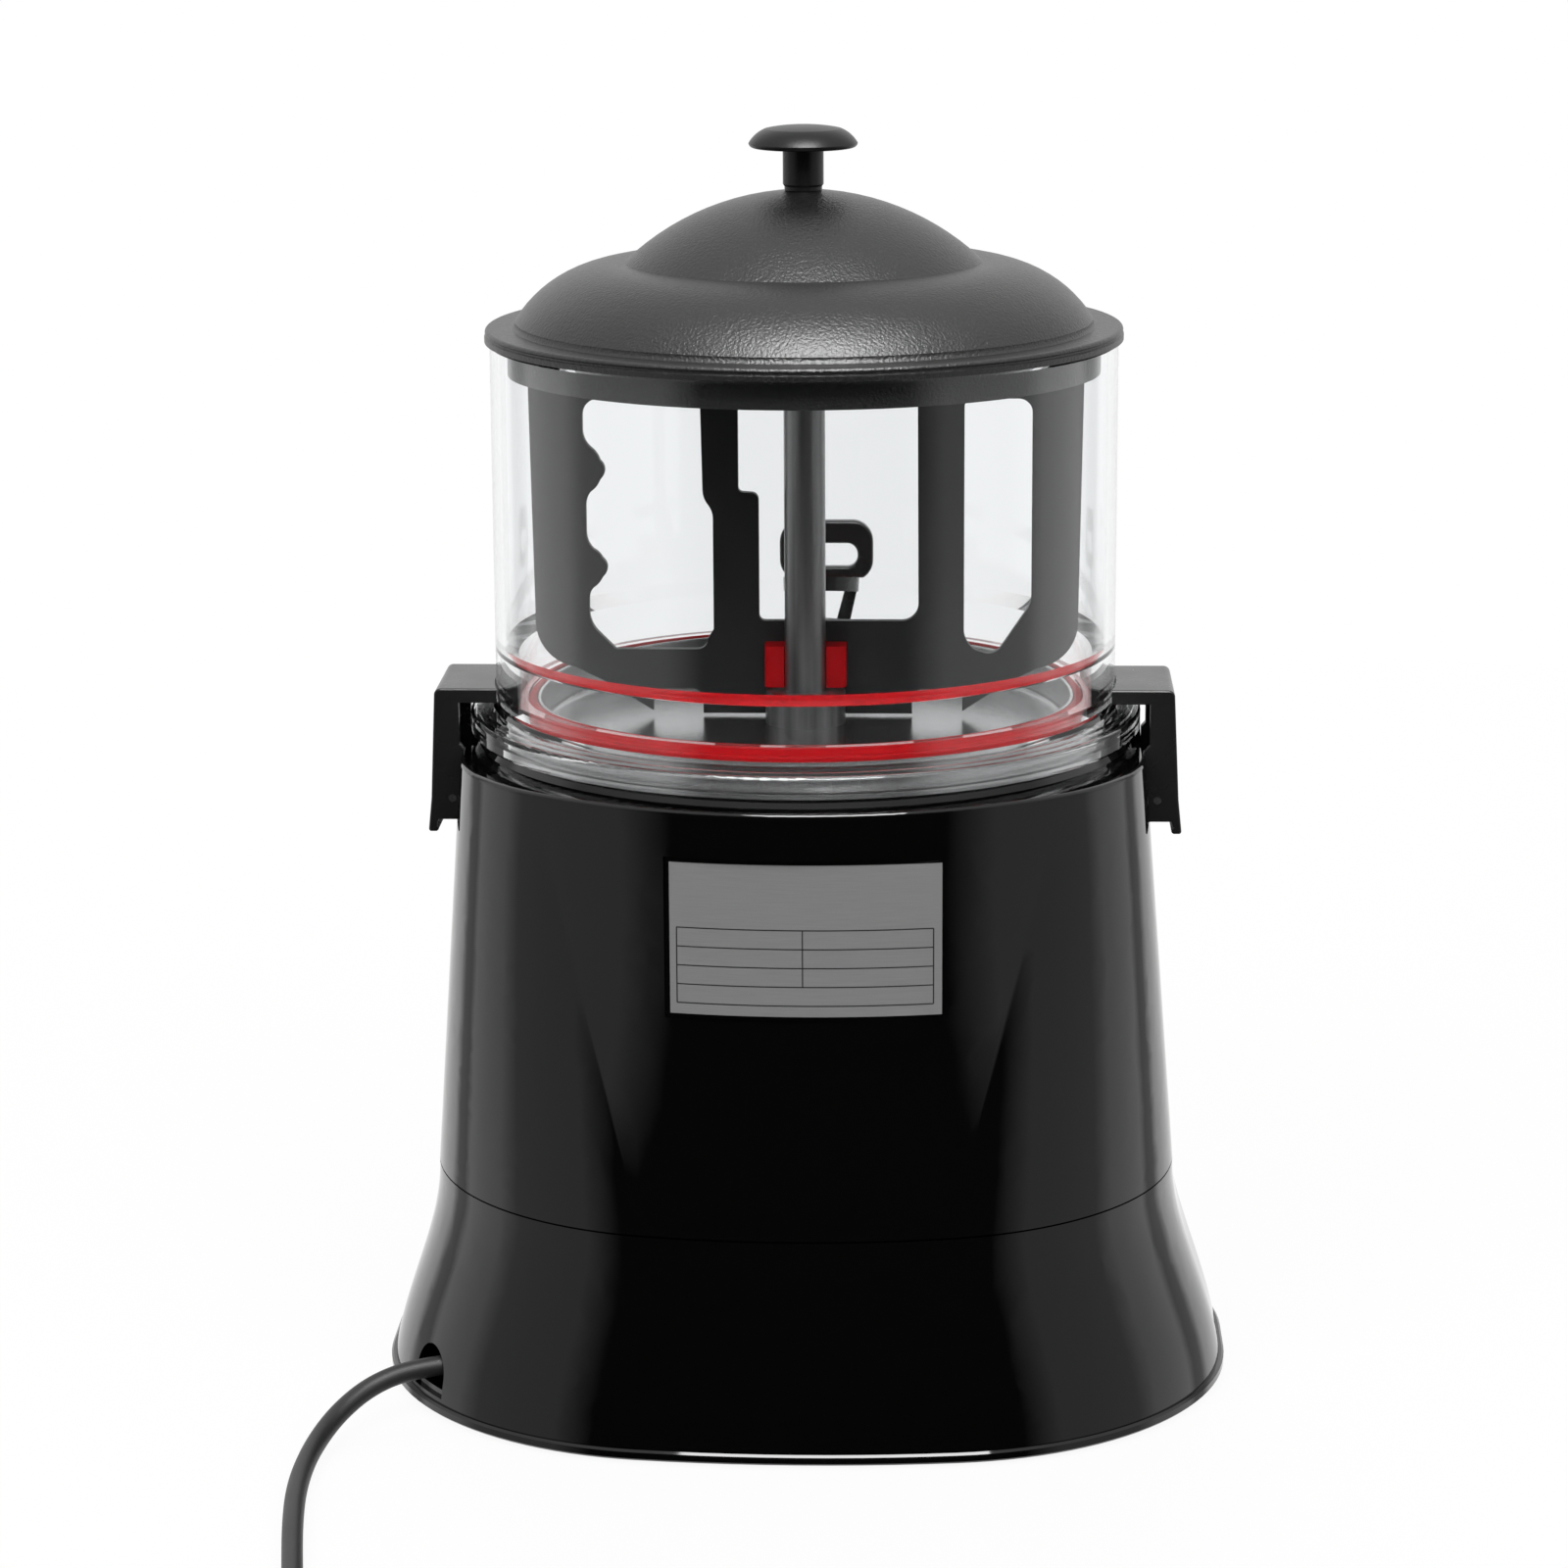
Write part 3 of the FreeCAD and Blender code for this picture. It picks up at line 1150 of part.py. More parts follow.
def d_bore(body):
    """Bore of the hub with a flat that the shaft drives."""
    sketch = new_sketch(body, "XY", hub_bottom - 1)
    bore = s.shaft_radius + s.running_fit
    flat = s.shaft_flat + s.running_fit
    side = root_of(bore * bore - flat * flat)
    outline(sketch, [
        (-side, flat), (-bore, 0, bore), (0, -bore, bore), (bore, 0, bore), (side, flat, bore),
    ])
    extrude(body, sketch, s.hub_height + 2, cut=True)


def scalloped_window(sketch):
    """Window at the +X side; its outer edge has two rounded teeth."""
    top = s.window_top
    outline(sketch, [
        (41.5, top, -2.4), (77.0, top), (83.5, top - 6.5, -6.5), (83.5, top - 12.5),
        (80.0, top - 19.0, -9.0), (77.0, top - 23.5, 9.0),
        (77.0, top - 30.5, 4.4), (80.5, top - 35.0, 8.0), (82.6, top - 41.5, -9.0), (82.6, top - 50.5),
        (80.0, top - 57.0, -9.0),
        (76.5, top - 60.5, 8.0), (76.5, top - 67.5, 4.4), (80.0, top - 71.5, 8.0), (81.8, top - 76.5, -7.0),
        (81.8, top - 80.5),
        (78.6, top - 88.5, -11.0), (72.0, top - 95.1), (41.0, top - 95.1), (37.0, top - 91.1, -4.0),
        (34.8, top - 87.5), (34.8, top - 44.5),
        (37.0, top - 39.5, -9.0), (38.6, top - 34.5, 9.0), (39.2, top - 2.5),
    ])


def tube_window(sketch):
    """Middle window, in which the centre tube stands."""
    top = s.window_top
    outline(sketch, [
        (-42.0, top - 2.5), (-39.5, top, -2.5), (23.0, top), (25.2, top - 2.2, -2.2), (25.2, top - 33.5),
        (23.5, top - 35.3, -1.8), (20.4, top - 35.5), (17.6, top - 38.3, 2.8), (17.6, top - 81.9),
        (15.4, top - 84.1, -2.2),
        (-36.0, top - 84.1), (-42.3, top - 77.9, -6.3),
    ])


def slanted_window(sketch):
    """Window at the -X side with a pointed foot."""
    top = s.window_top
    outline(sketch, [
        (-59.4, top - 3.0), (-62.4, top, -3.0), (-79.5, top), (-84.8, top - 5.3, -5.3), (-84.8, top - 74.5),
        (-82.6, top - 80.5, -10.0), (-73.5, top - 93.9), (-66.0, top - 95.9, -6.0),
        (-61.0, top - 92.5, -7.0), (-59.4, top - 87.5, -8.0),
    ])


bush_bottom = collar_top + s.bush_lift


def paddle_bush():
    """Silicone foot on the paddle that steadies it round the centre tube."""
    body = new_body("paddle_bush")
    half = s.bush_half_width
    back = -paddle_face
    bore = s.tube_radius + s.loose_fit
    front = 1.5
    side = root_of(bore * bore - front * front)
    sketch = new_sketch(body, "XY", bush_bottom)
    outline(sketch, [
        (-half, back), (half, back), (half, front - 3.0), (half - 3.0, front, 3.0), (side, front),
        (0, -bore, -bore), (-side, front, -bore), (-half + 3.0, front), (-half, front - 3.0, 3.0),
    ])
    extrude(body, sketch, s.bush_height)
    return seat(body)


# --------------------------------------------------------------------------------------------------
# Lid
# --------------------------------------------------------------------------------------------------
lid_seat = s.bowl_top + s.loose_fit
lid_rim_top = lid_seat + s.lid_band


def lid():
    """Double dome with a flat rim, a band round the bowl's edge and a skirt inside the bowl."""
    shell = s.lid_shell
    dome_low = s.dome_height - s.dome_radius + root_of(
        s.dome_radius * s.dome_radius - s.crease_radius * s.crease_radius)
    inner_dome = s.dome_radius - shell
    inner_crease = s.crease_radius - 1.0
    inner_rise = root_of(inner_dome * inner_dome - inner_crease * inner_crease)
    inner_dome_low = s.dome_height - s.dome_radius + inner_rise
    body = turned("lid", [
        (0, s.dome_height - shell), (inner_crease, inner_dome_low, -inner_dome),
        (s.shoulder_radius - shell - 0.6, s.shoulder_height - 0.8, -(s.shoulder_bend - shell)),
        (s.skirt_radius - s.skirt_wall, lid_seat + 1.0), (s.skirt_radius - s.skirt_wall, s.skirt_drop),
        (s.skirt_radius, s.skirt_drop), (s.skirt_radius, lid_seat), (s.lid_radius, lid_seat),
        (s.lid_radius, lid_seat + 1.8), (s.lid_radius - 0.7, lid_seat + 2.3),
        (s.lid_radius - 0.7, lid_seat + 2.9),
        (s.lid_radius - 0.2, lid_seat + 3.4), (s.lid_radius - 1.4, lid_rim_top, 1.3),
        (s.shoulder_radius + 1.0, lid_rim_top), (s.shoulder_radius, s.shoulder_height, -3.0),
        (s.crease_radius, dome_low, s.shoulder_bend), (0, s.dome_height, s.dome_radius),
    ])
    post(body, "XY", s.dome_height - 10.0, 20.0, [(0, 0, 2.0 + s.running_fit)], cut=True)
    return seat(body)


def lid_knob():
    """Mushroom knob with a necked stem."""
    base = s.dome_height + 0.02
    cap_low = s.knob_top - s.knob_cap
    crown_rise = as_size(1.2)
    crown_reach = s.knob_radius - 6.0
    flat = 3.0
    crown_width = crown_reach - flat
    crown = (crown_width * crown_width + crown_rise * crown_rise) / (crown_rise * 2)
    return seat(turned("lid_knob", [
        (1.6, base), (s.knob_stem - 0.6, base), (s.knob_stem - 0.6, base + 1.4), (s.knob_stem, base + 2.2),
        (s.knob_stem, cap_low + 1.2), (s.knob_radius - 2.0, cap_low), (s.knob_radius, cap_low + 1.6, 1.8),
        (crown_reach, s.knob_top - crown_rise, 12.0), (flat, s.knob_top, crown), (0, s.knob_top),
        (0, s.knob_top - 9.0),
        (1.6, s.knob_top - 9.0),
    ]))


def knob_screw():
    """Screw through the dome into the knob."""
    low = s.dome_height - s.lid_shell
    return seat(turned("knob_screw", [
        (0, low - 2.2), (3.6, low - 2.2), (4.0, low - 0.02), (2.0, low - 0.02), (2.0, s.dome_height - 0.4),
        (1.6, s.dome_height), (1.6, s.knob_top - 10.0), (0, s.knob_top - 10.0),
    ]))


# --------------------------------------------------------------------------------------------------
# Latches
# --------------------------------------------------------------------------------------------------
def latch(label, side):
    """Over-flange latch: top arm, outer web with a curled tail and two cheeks round the pin."""
    body = new_body(label)
    pin_x = s.latch_pin_x
    top = s.latch_top
    arm_under = top - s.arm_thickness
    outer_low = s.latch_outside + 1.8
    tail_out = outer_low + 1.2
    inside = s.latch_outside - s.latch_wall
    frame_profile = [
        (s.bowl_radius - 6.0, arm_under), (inside, arm_under),
        (outer_low - s.latch_wall, s.latch_pin_height),
        (outer_low - s.latch_wall + 0.2, s.cheek_bottom), (tail_out - s.latch_wall, s.latch_tail + 2.0),
        (tail_out - s.latch_wall - 1.0, s.latch_tail + 1.2),
        (tail_out - s.latch_wall, s.latch_tail, side * 1.3),
        (tail_out - 1.0, s.latch_tail), (tail_out, s.latch_tail + 1.0, side * 1.0),
        (outer_low, s.latch_pin_height),
        (s.latch_outside, top - 2.5), (s.latch_outside - 2.5, top, side * 2.5), (s.bowl_radius - 6.0, top),
    ]
    cheek_top = arm_under + 0.5
    cheek_profile = [
        (pin_x - 4.3, s.cheek_bottom), (outer_low - 1.0, s.cheek_bottom), (s.latch_outside - 1.0, cheek_top),
        (pin_x - 3.0, cheek_top), (pin_x - 3.0, s.latch_pin_height + 20.5),
        (pin_x - 4.7, s.latch_pin_height + 18.5),
    ]
    frame = new_sketch(body, "XZ")
    outline(frame, [(side * corner[0],) + tuple(corner[1:]) for corner in frame_profile])
    extrude(body, frame, s.latch_half_length * 2, symmetric=True)
    for cheek_start in (s.latch_half_length, s.cheek_wall - s.latch_half_length):
        cheek = new_sketch(body, "XZ", cheek_start)
        outline(cheek, [(side * corner[0], corner[1]) for corner in cheek_profile])
        extrude(body, cheek, s.cheek_wall)
    block(body, side * (s.bowl_radius + 2.0), side * (s.flange_radius - 1.0), -12.0, 12.0,
          flange_top + s.loose_fit, arm_under + 0.5)
    post(body, "XY", flange_top, 12.0, [(0, 0, s.bowl_radius + s.loose_fit + 0.2)], cut=True)
    post(body, "XZ", s.latch_half_length + 1, s.latch_half_length * 2 + 2,
         [(side * pin_x, s.latch_pin_height, s.pin_radius + s.running_fit)], cut=True)
    soften(body, 0.8, lambda edge, middle: abs(abs(middle.y) - s.latch_half_length.number) < 0.01
           and middle.z > top.number - 0.1)
    return seat(body)


def latch_bracket(label, side):
    """Lug in the casing's pocket that carries the latch pin."""
    body = new_body(label)
    lug = new_sketch(body, "XZ")
    pin_x = s.latch_pin_x
    low = s.latch_pin_height - s.lug_radius
    high = s.latch_pin_height + s.lug_radius
    floor = s.pocket_floor
    corners = [
        (floor, low - 3.0), (floor + 1.5, low - 3.0), (floor + 4.5, low, -3.0), (pin_x, low),
        (pin_x + s.lug_radius, s.latch_pin_height, s.lug_radius), (pin_x, high, s.lug_radius),
        (floor + 4.5, high), (floor + 1.5, high + 3.0, -3.0), (floor, high + 3.0),
    ]
    outline(lug, [(side * corner[0], corner[1]) + tuple(side * radius for radius in corner[2:])
                  for corner in corners])
    extrude(body, lug, s.lug_half_length * 2, symmetric=True)
    post(body, "XZ", s.lug_half_length + 1, s.lug_half_length * 2 + 2,
         [(side * pin_x, s.latch_pin_height, s.pin_radius + s.running_fit)], cut=True)
    return seat(body)


def latch_pins():
    """Two pins on which the latches turn, flush with the cheeks."""
    body = new_body("latch_pins")
    length = s.latch_half_length * 2 - 0.4
    post(body, "XZ", s.latch_half_length - 0.2, length,
         [(side * s.latch_pin_x, s.latch_pin_height, s.pin_radius) for side in (1, -1)])
    return seat(body)


# --------------------------------------------------------------------------------------------------
# Control panel
# --------------------------------------------------------------------------------------------------
panel_front = s.panel_plane + s.panel_thickness
switch_height_middle = s.panel_middle - s.switch_drop


def control_panel():
    """Flat bezel in the casing's front with openings for spindle, switches and lamps."""
    body = new_body("control_panel")
    face = new_sketch(body, "XZ", -s.panel_plane)
    half_width = s.panel_width / 2
    half_height = s.panel_height / 2
    round_rectangle(face, -half_width, half_width, s.panel_middle - half_height,
                    s.panel_middle + half_height,
                    s.panel_corner)
    extrude(body, face, s.panel_thickness)
    soften(body, 1.2, lambda edge, middle: abs(middle.y + panel_front.number) < 0.01, chamfer=True)
    front_openings(body, -s.panel_plane + 1, s.panel_thickness + 2)
    return seat(body)


def thermostat():
    """Capillary thermostat behind the panel."""
    body = new_body("thermostat")
    back = s.panel_plane - s.panel_backing
    half = 17.0
    block(body, -half, half, -back, -back + 26.0, s.panel_middle - half, s.panel_middle + half)
    post(body, "XZ", -back + 1.0, s.panel_backing - 1.0, [(0, s.panel_middle, s.spindle_radius + 2.0)])
    post(body, "XZ", -back + 12.0, s.panel_backing + 20.0,
         [(0, s.panel_middle, s.spindle_radius + s.running_fit)],
         cut=True)
    return seat(body)


def thermostat_spindle():
    """Spindle that the temperature knob turns."""
    back = s.panel_plane - s.panel_backing - 11.0
    length = panel_front + 10.0 - back
    return seat(turned("thermostat_spindle", [
        (0, 0), (s.spindle_radius, 0), (s.spindle_radius, length), (0, length),
    ]), y=-back, z=s.panel_middle, rotation=FACING_FRONT)


def temperature_knob():
    """Grooved knob with a skirt and a pointer rib."""
    body = turned("temperature_knob", [
        (s.spindle_radius + s.running_fit, s.loose_fit), (s.dial_skirt_radius, s.loose_fit),
        (s.dial_skirt_radius, 1.8), (s.knob_dial_radius, 3.4),
        (s.knob_dial_radius - 1.4, s.dial_height - 1.4),
        (s.knob_dial_radius - 3.0, s.dial_height, 1.6), (0, s.dial_height), (0, 10.5),
        (s.spindle_radius + s.running_fit, 10.5),
    ])
    grips = 18
    flute = new_sketch(body, "XY", 4.4)
    ring(flute, s.knob_dial_radius + 0.9, 0, as_size(1.9))
    cut = extrude(body, flute, s.dial_height, cut=True)
    pattern = body.newObject("PartDesign::PolarPattern", body.Name + "_Pattern")
    pattern.Originals = [cut]
    pattern.Axis = (flute, ["N_Axis"])
    pattern.Angle = 360
    pattern.Occurrences = grips
    body.Tip = pattern
    block(body, -0.9, 0.9, 4.0, s.knob_dial_radius - 3.4, s.dial_height - 1.0, s.dial_height + 0.8)
    return seat(body, y=-panel_front, z=s.panel_middle, rotation=FACING_FRONT)


def switch_housing(label, side):
    """Snap-in switch body with a raised frame."""
    body = new_body(label)
    middle = side * s.switch_offset
    half_width = s.switch_width / 2
    half_height = s.switch_height / 2
    frame = new_sketch(body, "XZ", -panel_front)
    bezel = s.switch_bezel
    rectangle(frame, middle - half_width - bezel, middle + half_width + bezel,
              switch_height_middle - half_height - bezel, switch_height_middle + half_height + bezel)
    extrude(body, frame, 2.0)
    box = new_sketch(body, "XZ", -panel_front + s.switch_depth)
    fit = s.panel_fit
    rectangle(box, middle - half_width + fit, middle + half_width - fit,
              switch_height_middle - half_height + fit, switch_height_middle + half_height - fit)
    extrude(body, box, s.switch_depth)
    opening = new_sketch(body, "XZ", -panel_front + 6.5)
    rectangle(opening, middle - half_width + 1.5, middle + half_width - 1.5,
              switch_height_middle - half_height + 1.5, switch_height_middle + half_height - 1.5)
    extrude(body, opening, 12.0, cut=True)
    return seat(body)


def rocker(label, side):
    """Rocker of a switch: a shallow V that tips about its middle."""
    body = new_body(label)
    half_width = s.switch_width / 2 - 1.5 - s.loose_fit
    half_height = s.switch_height / 2 - 1.5 - s.loose_fit * 2
    profile = new_sketch(body, "YZ")
    outline(profile, [
        (2.2, -2.0), (2.2, 2.0), (-2.6, half_height), (-4.6, half_height), (-3.2, 0), (-4.6, -half_height),
        (-2.6, -half_height),
    ])
    extrude(body, profile, half_width * 2, symmetric=True)
    return seat(body, x=side * s.switch_offset, y=-panel_front + 2.4, z=switch_height_middle,
                rotation=Rotation(Vector(1, 0, 0), s.rocker_tilt.number))


def indicator_lamps():
    """Two lamp lenses above the switches."""
    body = new_body("indicator_lamps")
    radius = s.lamp_radius - s.running_fit
    height = s.panel_middle + s.lamp_rise
    for side in (1, -1):
        post(body, "XZ", -panel_front + 8.0, 8.0, [(side * s.switch_offset, height, radius)])
        post(body, "XZ", -panel_front, 2.2, [(side * s.switch_offset, height, radius + 1.0)])
    soften(body, 1.0, lambda edge, middle: abs(middle.y + panel_front.number + 2.2) < 0.01)
    return seat(body)


# --------------------------------------------------------------------------------------------------
# Drip tray
# --------------------------------------------------------------------------------------------------
tray_bottom = ledge_bottom + s.shelf_wall + s.tray_lift
tray_half = s.shelf_half_width - s.shelf_wall - s.loose_fit
tray_top = tray_bottom + s.tray_height
shelf_front = s.tray_reach - s.tray_rim - s.tray_wall


def d_plan(sketch, half, back, front, corner):
    """Plan with square back corners and round front corners."""
    outline(sketch, [
        (half, -back), (-half, -back), (-half, -front + corner), (-half + corner, -front, corner),
        (half - corner, -front), (half, -front + corner, corner),
    ])


def tray_shelf():
    """Channel fixed on the base plate, in which the drip tray slides."""
    body = new_body("tray_shelf")
    outer = new_sketch(body, "XY", ledge_bottom)
    d_plan(outer, s.shelf_half_width, shelf_back, shelf_front, s.tray_corner)
    extrude(body, outer, s.shelf_height)
    inner = new_sketch(body, "XY", ledge_bottom + s.shelf_wall)
    d_plan(inner, s.shelf_half_width - s.shelf_wall, shelf_back - s.shelf_wall, shelf_front + 60.0,
           s.tray_corner - s.shelf_wall)
    extrude(body, inner, s.shelf_height, cut=True)
    return seat(body)


def drip_tray():
    """Basin with a rim, a step for the grille and a finger lip at the front."""
    body = new_body("drip_tray")
    outer = new_sketch(body, "XY", tray_bottom)
    d_plan(outer, tray_half, s.tray_back, s.tray_reach - s.tray_rim, s.tray_corner)
    extrude(body, outer, s.tray_height)
    inside = new_sketch(body, "XY", tray_bottom + s.tray_wall)
    d_plan(inside, tray_half - s.tray_wall * 2, s.tray_back + s.tray_wall,
           s.tray_reach - s.tray_rim - s.tray_wall * 2,
           s.tray_corner - s.tray_wall * 2)
    extrude(body, inside, s.tray_height, cut=True)
    step = new_sketch(body, "XY", tray_top - s.grille_step)
    d_plan(step, tray_half - s.tray_wall, s.grille_back - s.loose_fit,
           s.tray_reach - s.tray_rim - s.tray_wall,
           s.tray_corner - s.tray_wall)
    extrude(body, step, s.grille_step + 1, cut=True)
    lip = new_sketch(body, "YZ")
    front = -s.tray_reach
    outline(lip, [
        (front + s.tray_rim + 0.5, tray_top - 4.0), (front + s.tray_rim + 0.5, tray_top),
        (front + 1.0, tray_top),
        (front, tray_top - 1.0, 1.0), (front, tray_top - 3.0), (front + 1.0, tray_top - 4.0, 1.0),
    ])
    extrude(body, lip, (tray_half - s.tray_corner) * 2, symmetric=True)
    return seat(body)


def drip_grille():
    """Slotted steel plate lying in the tray's step."""
    body = new_body("drip_grille")
    low = tray_top - s.grille_step + s.seat_gap
    plate = new_sketch(body, "XY", low)
    half = tray_half - s.tray_wall - s.loose_fit
    front = s.tray_reach - s.tray_rim - s.tray_wall - s.loose_fit
    d_plan(plate, half, s.grille_back, front, s.tray_corner - s.tray_wall)
    extrude(body, plate, s.grille_thickness)
    count = 11
    start = -(s.grille_back + front) / 2 - s.slot_pitch * ((count - 1) / 2)
    columns = [(side * (s.slot_length / 2 + 6.0), start) for side in (1, -1)]
    slot_rows(body, low - 1, s.grille_thickness + 2, (s.slot_length, s.slot_width), columns,
              s.slot_pitch, count)
    return seat(body)


# --------------------------------------------------------------------------------------------------
# Wiring
# --------------------------------------------------------------------------------------------------
def terminal_block():
    """Screw terminal block on the base plate."""
    body = new_body("terminal_block")
    half_depth = 9.0
    block(body, -30.0, 30.0, s.terminal_reach - half_depth, s.terminal_reach + half_depth, ledge_bottom,
          ledge_bottom + 12.0)
    places = [(-22.0 + 11.0 * step, s.terminal_reach, 3.0) for step in range(5)]
    post(body, "XY", ledge_bottom + 5.0, 10.0, places, cut=True)
    return seat(body)


ROUTE = [
    (121.9, 70.1, 18.0), (132.0, 74.6, 18.0), (142.0, 79.4, 18.0), (152.0, 85.0, 17.0), (161.5, 92.4, 13.8),
    (169.5, 103.4, 9.2),
    (174.6, 118.5, 5.4), (176.8, 139.0, 3.75), (176.2, 165.0, 3.75), (173.0, 195.0, 3.75),
    (168.3, 228.0, 3.75),
    (163.4, 260.0, 3.75), (160.0, 291.0, 3.75), (159.4, 318.0, 3.75),
]
TAIL = [(89.8, 362.3, 11.25), (75.9, 354.3, 10.2), (62.6, 343.8, 8.0), (51.8, 333.4, 6.5)]


def tangent_path(points):
    """Straight runs joined by tangent arcs, each as large as its two runs allow."""
    points = [Vector(*point) for point in points]
    edges = []
    radii = []
    reached = points[0]
    for before, corner, after in zip(points, points[1:], points[2:]):
        come = corner - before
        leave = after - corner
        turn = come.getAngle(leave)
        cut = 0.45 * min(come.Length, leave.Length)
        start = corner - Vector(come).normalize() * cut
        end = corner + Vector(leave).normalize() * cut
        radii.append(cut / math.tan(turn / 2))
        inward = Vector(leave).normalize() - Vector(come).normalize()
        middle = (start + end) * 0.5 - Vector(inward).normalize() * (
            radii[-1] * (1 - math.cos(turn / 2)))
        edges.append(Part.LineSegment(reached, start).toShape())
        edges.append(Part.Arc(start, middle, end).toShape())
        reached = end
    edges.append(Part.LineSegment(reached, points[-1]).toShape())
    return Part.Wire(edges), radii


def cord_tube(label, points):
    """A stretch of the cord, swept along its route."""
    path, radii = tangent_path(points)
    first = path.Edges[0]
    direction = first.tangentAt(first.FirstParameter)
    section = Part.Wire([Part.makeCircle(s.cord_radius.number, Vector(*points[0]), direction)])
    tube = path.makePipeShell([section], True, False)
    expected = math.pi * s.cord_radius.number ** 2 * path.Length
    print("%s: %.0f mm long, volume ratio %.4f, radii %s"
          % (label, path.Length, tube.Volume / expected, [round(radius) for radius in radii]))
    cord = doc.addObject("Part::Feature", label)
    cord.Label = label
    cord.Shape = tube
    return seat(cord)


def cord_coil():
    """Outer shape of the wound part of the cord, lying on the counter."""
    width = s.cord_radius * 3
    height = s.cord_radius * 4
    corner = s.cord_radius
    inner = s.coil_middle_radius - width
    outer = s.coil_middle_radius + width
    body = turned("cord_coil", [
        (outer - corner, 0), (outer, corner, corner), (outer, height - corner),
        (outer - corner, height, corner),
        (inner + corner, height), (inner, height - corner, corner), (inner, corner),
        (inner + corner, 0, corner),
    ])
    return seat(body, x=s.coil_x, y=s.coil_y)


def cord_gland():
    """Gland plate behind the arch with a round nose that the cord leaves."""
    body = new_body("cord_gland")
    post(body, "YZ", -s.gland_length, s.gland_length, [(0, 0, s.gland_radius)])
    half = s.arch_radius + 5.0
    tilt = s.arch_angle - s.gland_angle
    flange = new_sketch(body, "XY", -s.exit_height + ledge_bottom + s.ledge_height + 0.2)
    along = as_size(-9.0)
    reach_x = sine(tilt) * half
    reach_y = cosine(tilt) * half
    deep_x = cosine(tilt) * 4.0
    deep_y = sine(tilt) * 4.0
    outline(flange, [
        (along + reach_x, -reach_y), (along + reach_x + deep_x, -reach_y + deep_y),
        (along - reach_x + deep_x, reach_y + deep_y), (along - reach_x, reach_y),
    ])
    extrude(body, flange, s.arch_shoulder + s.arch_radius + 3.0 - ledge_bottom - s.ledge_height)
    return seat(body, x=s.exit_x, y=s.exit_y, z=s.exit_height,
                rotation=Rotation(Vector(0, 0, 1), s.gland_angle.number))


def power_plug():
    """Moulded plug body with its strain relief, lying on the counter."""
    body = new_body("power_plug")
    shell = new_sketch(body, "XZ")
    round_rectangle(shell, as_size(-12.0), as_size(12.0), as_size(0.3), as_size(23.0), as_size(6.0))
    extrude(body, shell, 24.0)
    soften(body, 2.0, lambda edge, middle: abs(middle.y) < 0.01)
    neck = new_sketch(body, "XZ", 14.0)
    ring(neck, 0, 6.5, as_size(5.2))
    extrude(body, neck, 16.0)
    return seat(body, x=s.plug_x, y=s.plug_y, rotation=Rotation(Vector(0, 0, 1), s.plug_angle.number))


def plug_blades():
    """Two flat blades and the round earth pin."""
    body = new_body("plug_blades")
    for side in (1, -1):
        block(body, side * 5.6, side * 7.1, -41.0, -24.0, 10.0, 16.3)
    post(body, "XZ", -24.0, 19.0, [(0, 5.0, 2.4)])
    return seat(body, x=s.plug_x, y=s.plug_y, rotation=Rotation(Vector(0, 0, 1), s.plug_angle.number))


# --------------------------------------------------------------------------------------------------
# Build, check and write
# --------------------------------------------------------------------------------------------------
PARTS = [
    upper_casing, lower_skirt, base_plate, rubber_feet, base_screws, rating_plate,
    heated_pan, pan_outlet, pan_seal, centre_tube, drive_shaft, shaft_coupling, motor_spindle, gear_motor,
    motor_bracket, bracket_posts, bracket_screws, heating_element, overheat_cutout, sensing_bulb,
    bowl, tap_seal, tap_body, tap_cap, valve_piston, piston_seal, valve_spring, lever_pin, tap_lever,
    stirring_paddle, paddle_bush, lid, lid_knob, knob_screw, latch_pins,
    control_panel, thermostat, thermostat_spindle, temperature_knob, indicator_lamps,
    tray_shelf, drip_tray, drip_grille, terminal_block, cord_gland, cord_coil, power_plug, plug_blades,
]
nodes = [make() for make in PARTS]
nodes.append(tube_bushing("upper_bushing", s.tube_top - 8.0, s.tube_top, 1))
nodes.append(tube_bushing("lower_bushing", s.tube_bottom, s.tube_bottom + 8.0, -1))
for word, direction in (("left", 1), ("right", -1)):
    nodes.append(latch("latch_" + word, direction))
    nodes.append(latch_bracket("latch_bracket_" + word, direction))
nodes.append(switch_housing("power_switch_housing", 1))
nodes.append(switch_housing("stirrer_switch_housing", -1))
nodes.append(rocker("power_rocker", 1))
nodes.append(rocker("stirrer_rocker", -1))
nodes.append(cord_tube("power_cord", ROUTE))
nodes.append(cord_tube("plug_lead", TAIL))
doc.recompute()

failed = [item.Label for item in doc.Objects if "Invalid" in item.State or "Error" in item.State]
if failed:
    raise RuntimeError("failed objects: " + ", ".join(failed))
for node in nodes:
    if node.Shape.isNull() or not node.Shape.isValid():
        raise RuntimeError("bad shape: " + node.Label)

os.makedirs("parts", exist_ok=True)
for node in nodes:
    node.Shape.exportStep("parts/%s.step" % node.Label)
    box = node.Shape.BoundBox
    print("%-24s solids %d  volume %10.1f  x %7.1f %7.1f  y %7.1f %7.1f  z %6.1f %6.1f" % (
        node.Label, len(node.Shape.Solids), node.Shape.Volume, box.XMin, box.XMax, box.YMin, box.YMax,
        box.ZMin, box.ZMax))
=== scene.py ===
"""Looks of the hot chocolate dispenser: camera, studio, cord, finishes, prints and the pieces made anew.

Metres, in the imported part's own frame: +Z is up, the tap faces -Y, and the rating plate, which the camera
sees, faces +Y. Lengths named at the top of a section are in millimetres unless a comment says otherwise.
"""
import math

import bmesh
import bpy
from mathutils import Matrix, Vector


